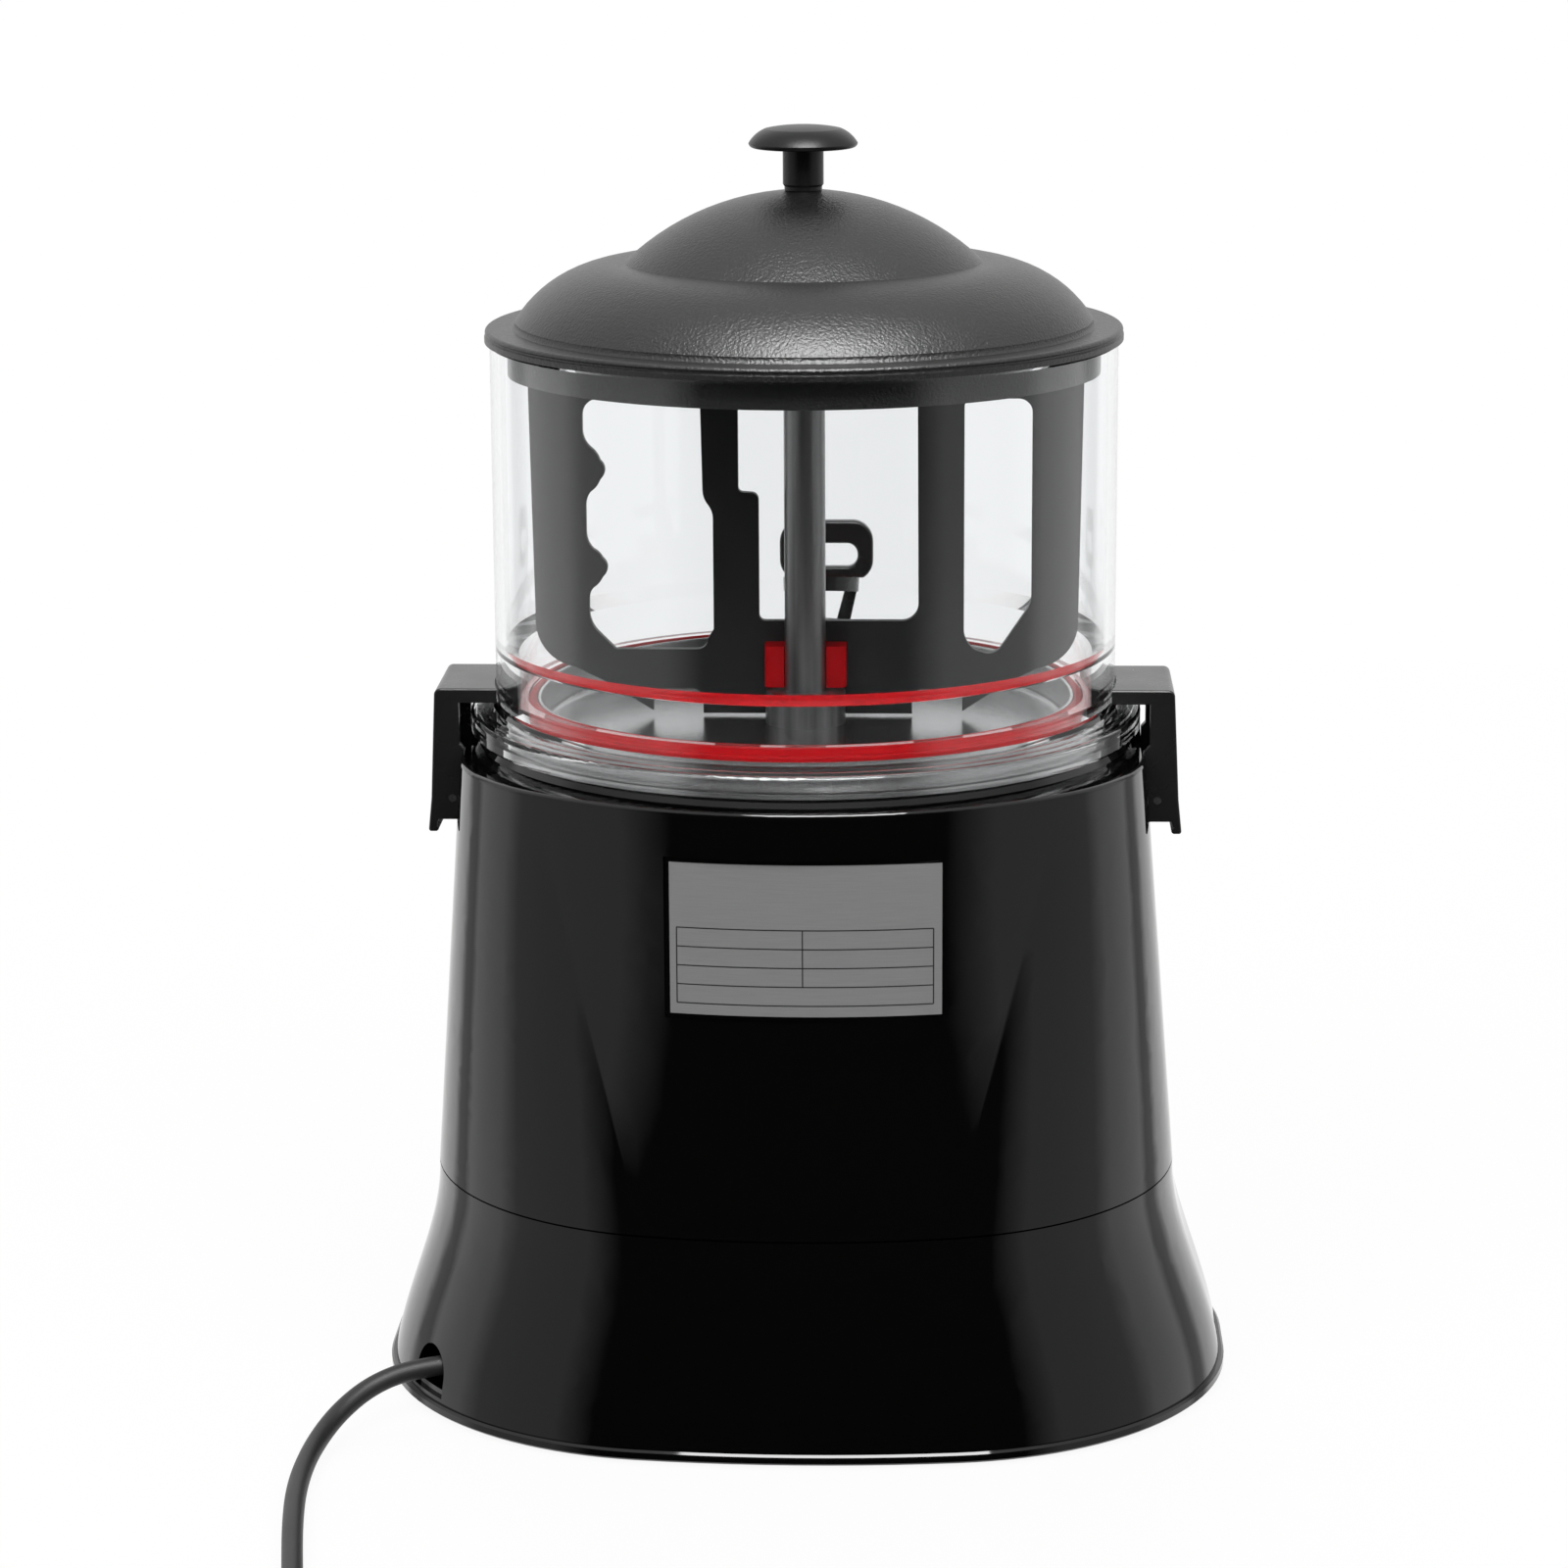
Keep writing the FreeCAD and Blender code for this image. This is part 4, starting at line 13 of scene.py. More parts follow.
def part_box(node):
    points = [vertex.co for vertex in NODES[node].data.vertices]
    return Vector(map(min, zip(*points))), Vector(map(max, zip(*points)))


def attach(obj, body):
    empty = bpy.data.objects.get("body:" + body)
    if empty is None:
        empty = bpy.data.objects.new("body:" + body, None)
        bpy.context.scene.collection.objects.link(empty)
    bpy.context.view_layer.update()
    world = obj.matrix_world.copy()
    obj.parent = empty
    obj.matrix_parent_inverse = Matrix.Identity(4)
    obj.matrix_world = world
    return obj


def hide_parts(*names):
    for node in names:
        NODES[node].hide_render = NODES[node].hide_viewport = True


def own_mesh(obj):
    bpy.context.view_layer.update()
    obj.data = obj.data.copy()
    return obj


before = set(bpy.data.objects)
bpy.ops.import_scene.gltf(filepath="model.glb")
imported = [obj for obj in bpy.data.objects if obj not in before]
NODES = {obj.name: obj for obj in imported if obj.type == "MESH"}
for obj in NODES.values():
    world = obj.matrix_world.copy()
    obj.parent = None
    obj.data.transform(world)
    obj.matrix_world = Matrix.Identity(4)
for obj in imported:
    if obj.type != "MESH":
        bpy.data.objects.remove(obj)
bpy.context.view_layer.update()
MM = 0.001

# --------------------------------------------------------------------------------------------------
# Places taken from the frame
# --------------------------------------------------------------------------------------------------
tube_low, tube_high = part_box("centre_tube")
AXIS_Y = (tube_low.y + tube_high.y) / 2


def on_axis(x, y, z):
    """A point given in millimetres from the bowl's axis, as a Vector in metres."""
    return Vector((x * MM, AXIS_Y + y * MM, z * MM))


# --------------------------------------------------------------------------------------------------
# Camera
# --------------------------------------------------------------------------------------------------
PICTURE_WIDTH = 1600
FOCAL_PIXELS = 4586
SENSOR = 36.0
CAMERA_DISTANCE = 1650.0
CAMERA_HEIGHT = 613.0
CAMERA_PITCH = 0.2320
CAMERA_YAW = 0.0050
CAMERA_ROLL = -0.0055
MODEL_TURN = math.radians(2.0)


def add_camera():
    """Camera behind the machine, a little above the lid and turned two degrees off its middle plane."""
    data = bpy.data.cameras.new("camera")
    data.sensor_width = SENSOR
    data.lens = FOCAL_PIXELS / PICTURE_WIDTH * SENSOR
    data.clip_end = 20
    camera = bpy.data.objects.new("camera", data)
    bpy.context.scene.collection.objects.link(camera)
    turn = Matrix.Rotation(MODEL_TURN, 3, "Z")
    forward = Vector((
        math.sin(CAMERA_YAW) * math.cos(CAMERA_PITCH), -math.cos(CAMERA_YAW) * math.cos(CAMERA_PITCH),
        -math.sin(CAMERA_PITCH),
    ))
    right = forward.cross(Vector((0, 0, 1))).normalized()
    up = right.cross(forward)
    cosine, sine = math.cos(CAMERA_ROLL), math.sin(CAMERA_ROLL)
    rolled_right = right * cosine + up * sine
    rolled_up = up * cosine - right * sine
    axes = [turn @ axis for axis in (rolled_right, rolled_up, -forward)]
    place = turn @ Vector((0, CAMERA_DISTANCE, CAMERA_HEIGHT))
    camera.matrix_world = Matrix.Translation(on_axis(*place)) @ Matrix(axes).transposed().to_4x4()
    bpy.context.scene.camera = camera


# --------------------------------------------------------------------------------------------------
# Cord: the points of its route in part.py, then a coil of two layers, then its end at the plug
# --------------------------------------------------------------------------------------------------
CORD_RADIUS = 3.75
ROUTE = [
    (121.9, 70.1, 18.0), (132.0, 74.6, 18.0), (142.0, 79.4, 18.0), (152.0, 85.0, 17.0),
    (161.5, 92.4, 13.8), (169.5, 103.4, 9.2), (174.6, 118.5, 5.4), (176.8, 139.0, 3.75),
    (176.2, 165.0, 3.75), (173.0, 195.0, 3.75), (168.3, 228.0, 3.75), (163.4, 260.0, 3.75),
    (160.0, 291.0, 3.75),
]
TAIL = [(75.9, 354.3, 10.2), (62.6, 343.8, 8.0), (51.8, 333.4, 6.5)]
COIL_COLUMNS = [0, 1, 2, 2, 1, 0]  # how many cord widths each turn lies inside the outermost one
COIL_TURNS = 5 + 120 / 360
TURNS_ON_FLOOR = 3
POINTS_PER_TURN = 20
STEP_SHARE = 0.2  # share of a turn in which the cord steps over to the next one


def coil_points():
    """Turns of the coil: outside in on the floor, outside again on top of that, ending at the plug's side."""
    low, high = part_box("cord_coil")
    middle = (low + high) / 2
    outer = (high.x - low.x) / 2 - CORD_RADIUS * MM
    step = 2 * CORD_RADIUS * MM
    last = len(COIL_COLUMNS) - 1
    points = []
    for index in range(round(COIL_TURNS * POINTS_PER_TURN) + 1):
        turns = index / POINTS_PER_TURN
        whole = min(int(turns), last)
        share = max(0.0, (turns - whole - 1 + STEP_SHARE) / STEP_SHARE)
        before, after = COIL_COLUMNS[whole], COIL_COLUMNS[min(whole + 1, last)]
        column = before + (after - before) * share
        layer = share if whole == TURNS_ON_FLOOR - 1 else float(whole >= TURNS_ON_FLOOR)
        radius = outer - column * step
        angle = 2 * math.pi * turns
        points.append(Vector((
            middle.x + radius * math.cos(angle), middle.y + radius * math.sin(angle),
            low.z + CORD_RADIUS * MM + layer * step,
        )))
    return points


def add_cord():
    """The whole cord as one smooth spline."""
    points = [on_axis(*point) for point in ROUTE] + coil_points() + [on_axis(*point) for point in TAIL]
    data = bpy.data.curves.new("power_lead", "CURVE")
    data.dimensions = "3D"
    spline = data.splines.new("NURBS")
    spline.points.add(len(points) - 1)
    for target, point in zip(spline.points, points):
        target.co = (*point, 1)
        target.radius = CORD_RADIUS * MM
    spline.order_u = 3
    spline.use_endpoint_u = True
    spline.resolution_u = 8
    data.bevel_depth = 1.0
    data.bevel_resolution = 5
    data.use_fill_caps = True
    lead = bpy.data.objects.new("power_lead", data)
    bpy.context.scene.collection.objects.link(lead)
    for piece in (lead, NODES["power_plug"], NODES["plug_blades"]):
        piece.visible_glossy = False  # the housing doesn't mirror what lies behind the machine
    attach(lead, "housing")
    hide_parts("power_cord", "cord_coil", "plug_lead")
    return lead


# --------------------------------------------------------------------------------------------------
# Node helpers
# --------------------------------------------------------------------------------------------------
MIX_FIRST, MIX_SECOND, MIX_RESULT = 6, 7, 2  # the colour sockets of a Mix node
WHITE = (1, 1, 1, 1)


class Shader:
    """A material's node tree with short calls for the nodes that the finishes use."""

    def __init__(self, name, **inputs):
        self.material = bpy.data.materials.new(name)
        self.material.use_nodes = True
        self.tree = self.material.node_tree
        self.principled = self.tree.nodes["Principled BSDF"]
        self.output = self.tree.nodes["Material Output"]
        for key, value in inputs.items():
            self.principled.inputs[key.replace("_", " ")].default_value = value
        self.place = self.tree.nodes.new("ShaderNodeTexCoord").outputs["Object"]

    def node(self, kind, **settings):
        """A node with its properties set; keys that name an input set that input's value or link."""
        made = self.tree.nodes.new("ShaderNode" + kind)
        for key, value in settings.items():
            name = key.replace("_", " ")
            if hasattr(made, key):
                setattr(made, key, value)
            elif isinstance(value, bpy.types.NodeSocket):
                self.tree.links.new(value, made.inputs[name])
            else:
                made.inputs[name].default_value = value
        return made

    def link(self, output, target):
        """Links an output to an input of the Principled shader, or to a given input."""
        if isinstance(target, str):
            target = self.principled.inputs[target]
        self.tree.links.new(output, target)

    def noise(self, scale, detail=2.0, stretch=(1, 1, 1)):
        """A noise value in metres; stretch multiplies the coordinates."""
        mapping = self.node("Mapping", Vector=self.place)
        mapping.inputs["Scale"].default_value = stretch
        made = self.node("TexNoise", Vector=mapping.outputs["Vector"], Scale=scale, Detail=detail)
        return made.outputs["Fac"]

    def spread(self, value, low, high):
        """Maps a 0..1 value to low..high."""
        made = self.node("MapRange", Value=value)
        made.inputs["To Min"].default_value = low
        made.inputs["To Max"].default_value = high
        return made.outputs["Result"]

    def tint(self, value, dark, light):
        """A colour between two, by a value."""
        ramp = self.node("ValToRGB", Fac=value)
        ramp.color_ramp.elements[0].color = (*dark, 1)
        ramp.color_ramp.elements[1].color = (*light, 1)
        self.link(ramp.outputs["Color"], "Base Color")

    def bump(self, height, distance, strength=1.0):
        """A bump from a height value, in metres of depth."""
        made = self.node("Bump", Height=height, Distance=distance, Strength=strength)
        self.link(made.outputs["Normal"], "Normal")


def grey(value):
    """A neutral colour."""
    return (value, value, value)


def plastic(name, dark, light, roughness, grain, depth, shine=0.5):
    """Moulded plastic: slight colour drift, uneven gloss and a fine grain."""
    shader = Shader(name, Specular_IOR_Level=shine)
    shader.tint(shader.noise(18.0), dark, light)
    shader.link(shader.spread(shader.noise(45.0, 4.0), roughness[0], roughness[1]), "Roughness")
    shader.bump(shader.noise(grain, 3.0), depth)
    return shader.material


LINE_SHADE = 0.86
LINE_DEPTH = 2e-6


def metal(name, colour, roughness, stretch):
    """Metal with fine drawn lines, long where stretch is small."""
    shader = Shader(name, Metallic=1.0)
    lines = shader.noise(260.0, 3.0, stretch)
    shader.tint(lines, [part * LINE_SHADE for part in colour], colour)
    shader.link(shader.spread(lines, roughness[0], roughness[1]), "Roughness")
    shader.bump(lines, LINE_DEPTH)
    return shader.material


def dressed(material, *names):
    """Gives CAD nodes a material."""
    for name in names:
        data = NODES[name].data
        data.materials.clear()
        data.materials.append(material)


# --------------------------------------------------------------------------------------------------
# Finishes
# --------------------------------------------------------------------------------------------------
def glossy_black():
    """Smooth polished black moulding of the housing."""
    shader = Shader("glossy_black", IOR=1.5)
    shader.tint(shader.noise(9.0), grey(0.0007), grey(0.0012))
    shader.link(shader.spread(shader.noise(30.0, 4.0), 0.035, 0.06), "Roughness")
    shader.bump(shader.noise(22.0, 2.0), 2e-6)
    return shader.material


def grained_black():
    """Spark-eroded satin grain of the lid."""
    shader = Shader("grained_black", Specular_IOR_Level=0.68)
    shader.tint(shader.noise(400.0, 2.0), grey(0.002), grey(0.007))
    shader.link(shader.spread(shader.noise(900.0, 3.0), 0.32, 0.44), "Roughness")
    shader.bump(shader.noise(900.0, 2.0), 3.8e-4, 0.85)
    return shader.material


def clear_moulding():
    """Clear polycarbonate; shadow rays pass it, so that what is inside is lit."""
    shader = Shader("clear_moulding", Roughness=0.015, IOR=1.5)
    shader.principled.inputs["Base Color"].default_value = (0.97, 0.98, 0.985, 1)
    shader.principled.inputs["Transmission Weight"].default_value = 1.0
    shader.bump(shader.noise(14.0, 1.0), 6e-6)
    path = shader.node("LightPath")
    through = shader.node("BsdfTransparent")
    mixed = shader.node("MixShader")
    shader.link(path.outputs["Is Shadow Ray"], mixed.inputs[0])
    shader.link(shader.principled.outputs["BSDF"], mixed.inputs[1])
    shader.link(through.outputs["BSDF"], mixed.inputs[2])
    shader.link(mixed.outputs["Shader"], shader.output.inputs["Surface"])
    return shader.material


def silicone():
    """Red silicone rubber."""
    shader = Shader("silicone", Roughness=0.5, Specular_IOR_Level=0.08)
    shader.principled.inputs["Subsurface Weight"].default_value = 0.05
    shader.principled.inputs["Subsurface Scale"].default_value = 0.002
    shader.tint(shader.noise(60.0), (0.32, 0.0015, 0.004), (0.41, 0.003, 0.006))
    shader.bump(shader.noise(300.0), 8e-6)
    return shader.material


def polished_steel():
    """Spun and polished steel of the pan, with faint rings round the axis."""
    shader = Shader("polished_steel", Metallic=1.0)
    place = shader.node("Mapping", Vector=shader.place)
    place.inputs["Location"].default_value = (0, -AXIS_Y, 0)
    flat = shader.node("VectorMath", operation="MULTIPLY")
    shader.link(place.outputs["Vector"], flat.inputs[0])
    flat.inputs[1].default_value = (1, 1, 0)
    radius = shader.node("VectorMath", operation="LENGTH")
    shader.link(flat.outputs["Vector"], radius.inputs[0])
    rings = shader.node("TexNoise", noise_dimensions="1D", Scale=1500.0, Detail=2.0)
    shader.link(radius.outputs["Value"], rings.inputs["W"])
    shader.tint(rings.outputs["Fac"], grey(0.40), grey(0.50))
    shader.link(shader.spread(rings.outputs["Fac"], 0.18, 0.27), "Roughness")
    shader.bump(rings.outputs["Fac"], 1.5e-6)
    return shader.material


def tube_steel():
    """Ground steel of the tube, streaked along its length; the light and dark streaks in its colour are
    partly grinding marks and partly painted highlights and painted shade.
    """
    shader = Shader("tube_steel", Metallic=1.0)
    streaks_and_painted_highlights = shader.noise(170.0, 2.0, (1, 1, 0.02))
    # the light streaks in this colour are painted highlights and the dark ones painted shade, laid over the
    # grinding marks
    shader.tint(shader.spread(streaks_and_painted_highlights, -0.6, 1.6), grey(0.10), grey(0.42))
    shader.link(shader.spread(streaks_and_painted_highlights, 0.30, 0.40), "Roughness")
    shader.bump(streaks_and_painted_highlights, 2e-6)
    return shader.material


PLATE_FRAME = {"left": 41.5, "right": -49.0, "bottom": 173.0, "top": 200.5, "middle": -3.0}
PLATE_ROWS = 4
PLATE_LINE = 0.45
PLATE_DARK, PLATE_LIGHT, PLATE_INK = 0.175, 0.215, 0.01


def ruled_plate():
    """Satin aluminium with an empty ruled table, whose outer lines frame it."""
    shader = Shader("ruled_plate", Metallic=0.15)
    parts = shader.node("SeparateXYZ", Vector=shader.place)
    x, z = parts.outputs["X"], parts.outputs["Z"]
    ink = None

    def math_node(operation, *values):
        made = shader.node("Math", operation=operation)
        for socket, value in zip(made.inputs, values):
            if isinstance(value, (int, float)):
                socket.default_value = value
            else:
                shader.link(value, socket)
        return made.outputs["Value"]

    def inside(value, low, high):
        above = math_node("GREATER_THAN", value, low * MM)
        below = math_node("LESS_THAN", value, high * MM)
        return math_node("MULTIPLY", above, below)

    left, right = PLATE_FRAME["left"], PLATE_FRAME["right"]
    bottom, top, middle = PLATE_FRAME["bottom"], PLATE_FRAME["top"], PLATE_FRAME["middle"]
    half = PLATE_LINE / 2
    row = (top - bottom) / PLATE_ROWS
    strokes = [(right, left, bottom + row * index - half, bottom + row * index + half)
               for index in range(PLATE_ROWS + 1)]
    strokes += [(edge - half, edge + half, bottom, top) for edge in (right, left)]
    strokes.append((middle - half, middle + half, bottom + row, top))
    for low_x, high_x, low_z, high_z in strokes:
        stroke = math_node("MULTIPLY", inside(x, low_x, high_x), inside(z, low_z, high_z))
        ink = stroke if ink is None else math_node("MAXIMUM", ink, stroke)
    lines = shader.noise(260.0, 3.0, (0.3, 1, 9))
    ramp = shader.node("ValToRGB", Fac=lines)
    ramp.color_ramp.elements[0].color = (*grey(PLATE_DARK), 1)
    ramp.color_ramp.elements[1].color = (*grey(PLATE_LIGHT), 1)
    mixed = shader.node("Mix", data_type="RGBA")
    shader.link(ink, mixed.inputs["Factor"])
    shader.link(ramp.outputs["Color"], mixed.inputs[MIX_FIRST])
    mixed.inputs[MIX_SECOND].default_value = (*grey(PLATE_INK), 1)
    shader.link(mixed.outputs[MIX_RESULT], "Base Color")
    shader.link(shader.spread(lines, 0.38, 0.5), "Roughness")
    shader.bump(lines, 3e-6)
    return shader.material


def dress_nodes():
    """Every CAD node gets its finish."""
    dressed(glossy_black(), "upper_casing", "lower_skirt")
    dressed(grained_black(), "lid")
    dressed(plastic("knob_cap_black", grey(0.002), grey(0.005), (0.32, 0.42), 800.0, 4e-5, shine=0.35),
            "lid_knob")
    satin = plastic("satin_black", grey(0.006), grey(0.012), (0.22, 0.34), 900.0, 1.2e-5)
    dressed(satin, "latch_left", "latch_right", "latch_bracket_left", "latch_bracket_right", "tap_body",
            "tap_cap", "tap_lever", "valve_piston")
    dressed(clear_moulding(), "bowl")
    dressed(silicone(), "pan_seal", "paddle_bush", "tap_seal", "piston_seal")
    dressed(polished_steel(), "heated_pan")
    dressed(tube_steel(), "centre_tube", "drive_shaft")
    dressed(metal("plain_steel", grey(0.55), (0.2, 0.34), (1, 1, 1)), "latch_pins", "lever_pin",
            "valve_spring", "knob_screw", "base_screws", "bracket_screws", "motor_spindle", "shaft_coupling",
            "thermostat_spindle", "pan_outlet")
    dressed(metal("grille_steel", grey(0.6), (0.22, 0.34), (0.05, 1, 1)), "drip_grille")
    dressed(ruled_plate(), "rating_plate")
    dressed(metal("zinc_sheet", grey(0.5), (0.3, 0.45), (1, 1, 1)), "base_plate", "motor_bracket",
            "bracket_posts")
    dressed(plastic("motor_grey", grey(0.08), grey(0.1), (0.3, 0.42), 300.0, 1e-5), "gear_motor",
            "terminal_block", "thermostat", "overheat_cutout", "sensing_bulb", "heating_element")
    dressed(plastic("bushing_white", grey(0.66), grey(0.72), (0.4, 0.5), 400.0, 1e-5), "upper_bushing",
            "lower_bushing")
    dressed(plastic("panel_grey", grey(0.028), grey(0.036), (0.35, 0.45), 1400.0, 2e-5), "control_panel")
    dressed(plastic("knob_black", grey(0.008), grey(0.012), (0.25, 0.35), 900.0, 1e-5), "temperature_knob")
    dressed(plastic("switch_black", grey(0.006), grey(0.009), (0.12, 0.2), 200.0, 2e-6),
            "power_switch_housing", "stirrer_switch_housing")
    dressed(plastic("rocker_green", (0.004, 0.09, 0.015), (0.006, 0.12, 0.02), (0.12, 0.2), 200.0, 2e-6),
            "power_rocker", "stirrer_rocker")
    dressed(plastic("lamp_amber", (0.75, 0.2, 0.01), (0.85, 0.26, 0.02), (0.08, 0.14), 200.0, 2e-6),
            "indicator_lamps")
    dressed(plastic("tray_black", grey(0.006), grey(0.009), (0.15, 0.24), 600.0, 6e-6), "tray_shelf",
            "drip_tray")
    dressed(plastic("foot_rubber", grey(0.012), grey(0.02), (0.6, 0.75), 500.0, 3e-5), "rubber_feet")
    dressed(cord_finish(), "cord_gland")
    dressed(plastic("plug_black", grey(0.010), grey(0.014), (0.35, 0.5), 900.0, 2e-5), "power_plug")
    dressed(metal("blade_brass", (0.72, 0.55, 0.28), (0.16, 0.26), (1, 0.1, 1)), "plug_blades")


def cord_finish():
    """Matte sheath of the cord."""
    return plastic("cord_sheath", grey(0.010), grey(0.016), (0.42, 0.55), 700.0, 1.5e-5)


# --------------------------------------------------------------------------------------------------
# Pieces that the scene adds or makes anew
# --------------------------------------------------------------------------------------------------
def as_mesh(form, name):
    """The finished bmesh as a mesh of that name."""
    mesh = bpy.data.meshes.new(name)
    form.to_mesh(mesh)
    form.free()
    return mesh


def add_piece(name, mesh, body, material):
    """A new object that rides on a body and has its finish."""
    piece = bpy.data.objects.new(name, mesh)
    bpy.context.scene.collection.objects.link(piece)
    mesh.materials.clear()
    mesh.materials.append(material)
    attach(piece, body)
    return piece


WINDOW_TOP = 368.5
WINDOW_CORNERS = [
    (-59.4, -3.0), (-62.4, 0.0, 3.0), (-79.5, 0.0), (-84.8, -5.3, 5.3), (-84.8, -74.5), (-82.6, -80.5, 10.0),
    (-73.5, -93.9), (-66.0, -95.9, 6.0), (-61.0, -92.5, 7.0), (-59.4, -87.5, 8.0),
]
ARC_STEPS = 8
WELD_DISTANCE = 1e-6
SHARP_ANGLE = math.radians(25)


def window_outline():
    """Points of the slanted window; a corner's third number is the radius of the arc that ends there."""
    points = []
    for x, z, *radius in WINDOW_CORNERS:
        end = Vector((x, WINDOW_TOP + z))
        if radius:
            start = points[-1]
            chord = end - start
            left = Vector((-chord.y, chord.x)).normalized()
            centre = (start + end) / 2 + left * math.sqrt(radius[0] ** 2 - (chord.length / 2) ** 2)
            sweep = 2 * math.asin(chord.length / 2 / radius[0])
            arm = start - centre
            for index in range(1, ARC_STEPS):
                angle = sweep * index / ARC_STEPS
                cosine, sine = math.cos(angle), math.sin(angle)
                turned = Vector((arm.x * cosine - arm.y * sine, arm.x * sine + arm.y * cosine))
                points.append(centre + turned)
        points.append(end)
    return points


def round_window():
    """The stirring paddle again, with its slanted window's corners cut round: in CAD they bulge inwards."""
    form = bmesh.new()
    form.from_mesh(NODES["stirring_paddle"].data)
    bmesh.ops.remove_doubles(form, verts=form.verts, dist=WELD_DISTANCE)
    plate = bpy.data.objects.new("paddle_welded", as_mesh(form, "paddle_welded"))
    low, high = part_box("stirring_paddle")
    form = bmesh.new()
    near = [form.verts.new((point.x * MM, low.y - MM, point.y * MM)) for point in window_outline()]
    face = form.faces.new(near)
    grown = bmesh.ops.extrude_face_region(form, geom=[face])["geom"]
    far = [item for item in grown if isinstance(item, bmesh.types.BMVert)]
    bmesh.ops.translate(form, verts=far, vec=(0, high.y - low.y + 2 * MM, 0))
    bmesh.ops.recalc_face_normals(form, faces=form.faces)
    cutter = bpy.data.objects.new("window_cutter", as_mesh(form, "window_cutter"))
    for item in (plate, cutter):
        bpy.context.scene.collection.objects.link(item)
    cut = plate.modifiers.new("window", "BOOLEAN")
    cut.operation = "DIFFERENCE"
    cut.solver = "EXACT"
    cut.object = cutter
    bpy.context.view_layer.update()
    graph = bpy.context.evaluated_depsgraph_get()
    mesh = bpy.data.meshes.new_from_object(plate.evaluated_get(graph))
    for item in (plate, cutter):
        bpy.data.objects.remove(item)
    mesh.shade_smooth()
    mesh.set_sharp_from_angle(angle=SHARP_ANGLE)
    black = plastic("paddle_black", grey(0.006), grey(0.010), (0.38, 0.5), 500.0, 1.5e-5, shine=0.3)
    paddle = add_piece("paddle_plate", mesh, "stirrer", black)
    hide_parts("stirring_paddle")


SPRING_TURNS = 4
WIRE_RADIUS = 0.6
SPRING_CLEARANCE = 0.05
SPRING_STEPS = 24
WIRE_SIDES = 10


def wind_spring():
    """The tap's return spring as a wound wire.

    A wire this thick would bind at about 6 mm, before the plunger's full travel.
    """
    low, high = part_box("valve_spring")
    middle = (low + high) / 2
    wire = WIRE_RADIUS * MM
    mean = (high.x - low.x) / 2 - wire - SPRING_CLEARANCE * MM
    rise = high.z - low.z - 2 * wire
    count = SPRING_TURNS * SPRING_STEPS
    form = bmesh.new()
    rings = []
    for index in range(count + 1):
        angle = 2 * math.pi * index / SPRING_STEPS
        out = Vector((math.cos(angle), math.sin(angle), 0))
        centre = Vector((middle.x, middle.y, low.z + wire + rise * index / count)) + out * mean
        rings.append([form.verts.new(centre + out * (wire * math.cos(2 * math.pi * k / WIRE_SIDES))
                                     + Vector((0, 0, wire * math.sin(2 * math.pi * k / WIRE_SIDES))))
                      for k in range(WIRE_SIDES)])
    for ring, after in zip(rings, rings[1:]):
        for k in range(WIRE_SIDES):
            other = (k + 1) % WIRE_SIDES
            form.faces.new((ring[k], ring[other], after[other], after[k]))
    form.faces.new(rings[0])
    form.faces.new(rings[-1])
    bmesh.ops.recalc_face_normals(form, faces=form.faces)
    mesh = as_mesh(form, "return_spring")
    mesh.shade_smooth()
    steel = metal("spring_steel", grey(0.55), (0.2, 0.34), (1, 1, 1))
    spring = add_piece("return_spring", mesh, "housing", steel)
    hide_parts("valve_spring")
    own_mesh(spring)


PANEL_Y = -128.0
PANEL_MIDDLE = 158.0
DIAL_RADIUS = 23.0
DIAL_NUMBERS = 7
DIAL_STEP = math.radians(45)
DOT_RADIUS = 0.55
DOT_SIDES = 16
PRINT_DEPTH = 0.06
NUMERAL_SIZE = 4.6
SWITCH_X = 34.0
SWITCH_Z = 153.0
ROCKER_Y = -125.6
ROCKER_TILT = math.radians(7)
ROCKER_DROP = 1.4
ROCKER_HALF = 7.4
ROCKER_SLOPE = math.atan(ROCKER_DROP / ROCKER_HALF)
MARK_PLACE = 4.2  # from the rocker's middle, up for the bar and down for the ring
MARK_HEIGHT = 4.0
BAR_HALF_WIDTH, BAR_HALF_LENGTH = 0.3, 1.4
RING_OUTER, RING_INNER = 1.5, 0.95
RING_SIDES = 32


def facing_front(x, y, z, tilt=0.0):
    """Places a print drawn in its own XY plane on a face that looks to the front."""
    return Matrix.Translation(on_axis(x, y, z)) @ Matrix.Rotation(math.pi / 2 + tilt, 4, "X")


def numeral_mesh(text):
    """The outline of a numeral as a thin mesh, in metres."""
    data = bpy.data.curves.new("numeral", "FONT")
    data.body = text
    data.size = NUMERAL_SIZE * MM
    data.align_x = "CENTER"
    data.align_y = "CENTER"
    data.extrude = PRINT_DEPTH * MM
    maker = bpy.data.objects.new("numeral", data)
    bpy.context.scene.collection.objects.link(maker)
    bpy.context.view_layer.update()
    graph = bpy.context.evaluated_depsgraph_get()
    mesh = bpy.data.meshes.new_from_object(maker.evaluated_get(graph))
    bpy.data.objects.remove(maker)
    return mesh


def print_verts(form, place, outline):
    """New vertices for a print's outline, given in millimetres in the print's own plane."""
    return [form.verts.new(place @ Vector((x * MM, y * MM, PRINT_DEPTH * MM))) for x, y in outline]


def circle(radius, sides):
    """Points round a circle."""
    return [(radius * math.cos(2 * math.pi * k / sides), radius * math.sin(2 * math.pi * k / sides))
            for k in range(sides)]


def on_dial(angle):
    """A place on the dial's circle, at an angle from its top."""
    return facing_front(DIAL_RADIUS * math.sin(angle), PANEL_Y, PANEL_MIDDLE + DIAL_RADIUS * math.cos(angle))


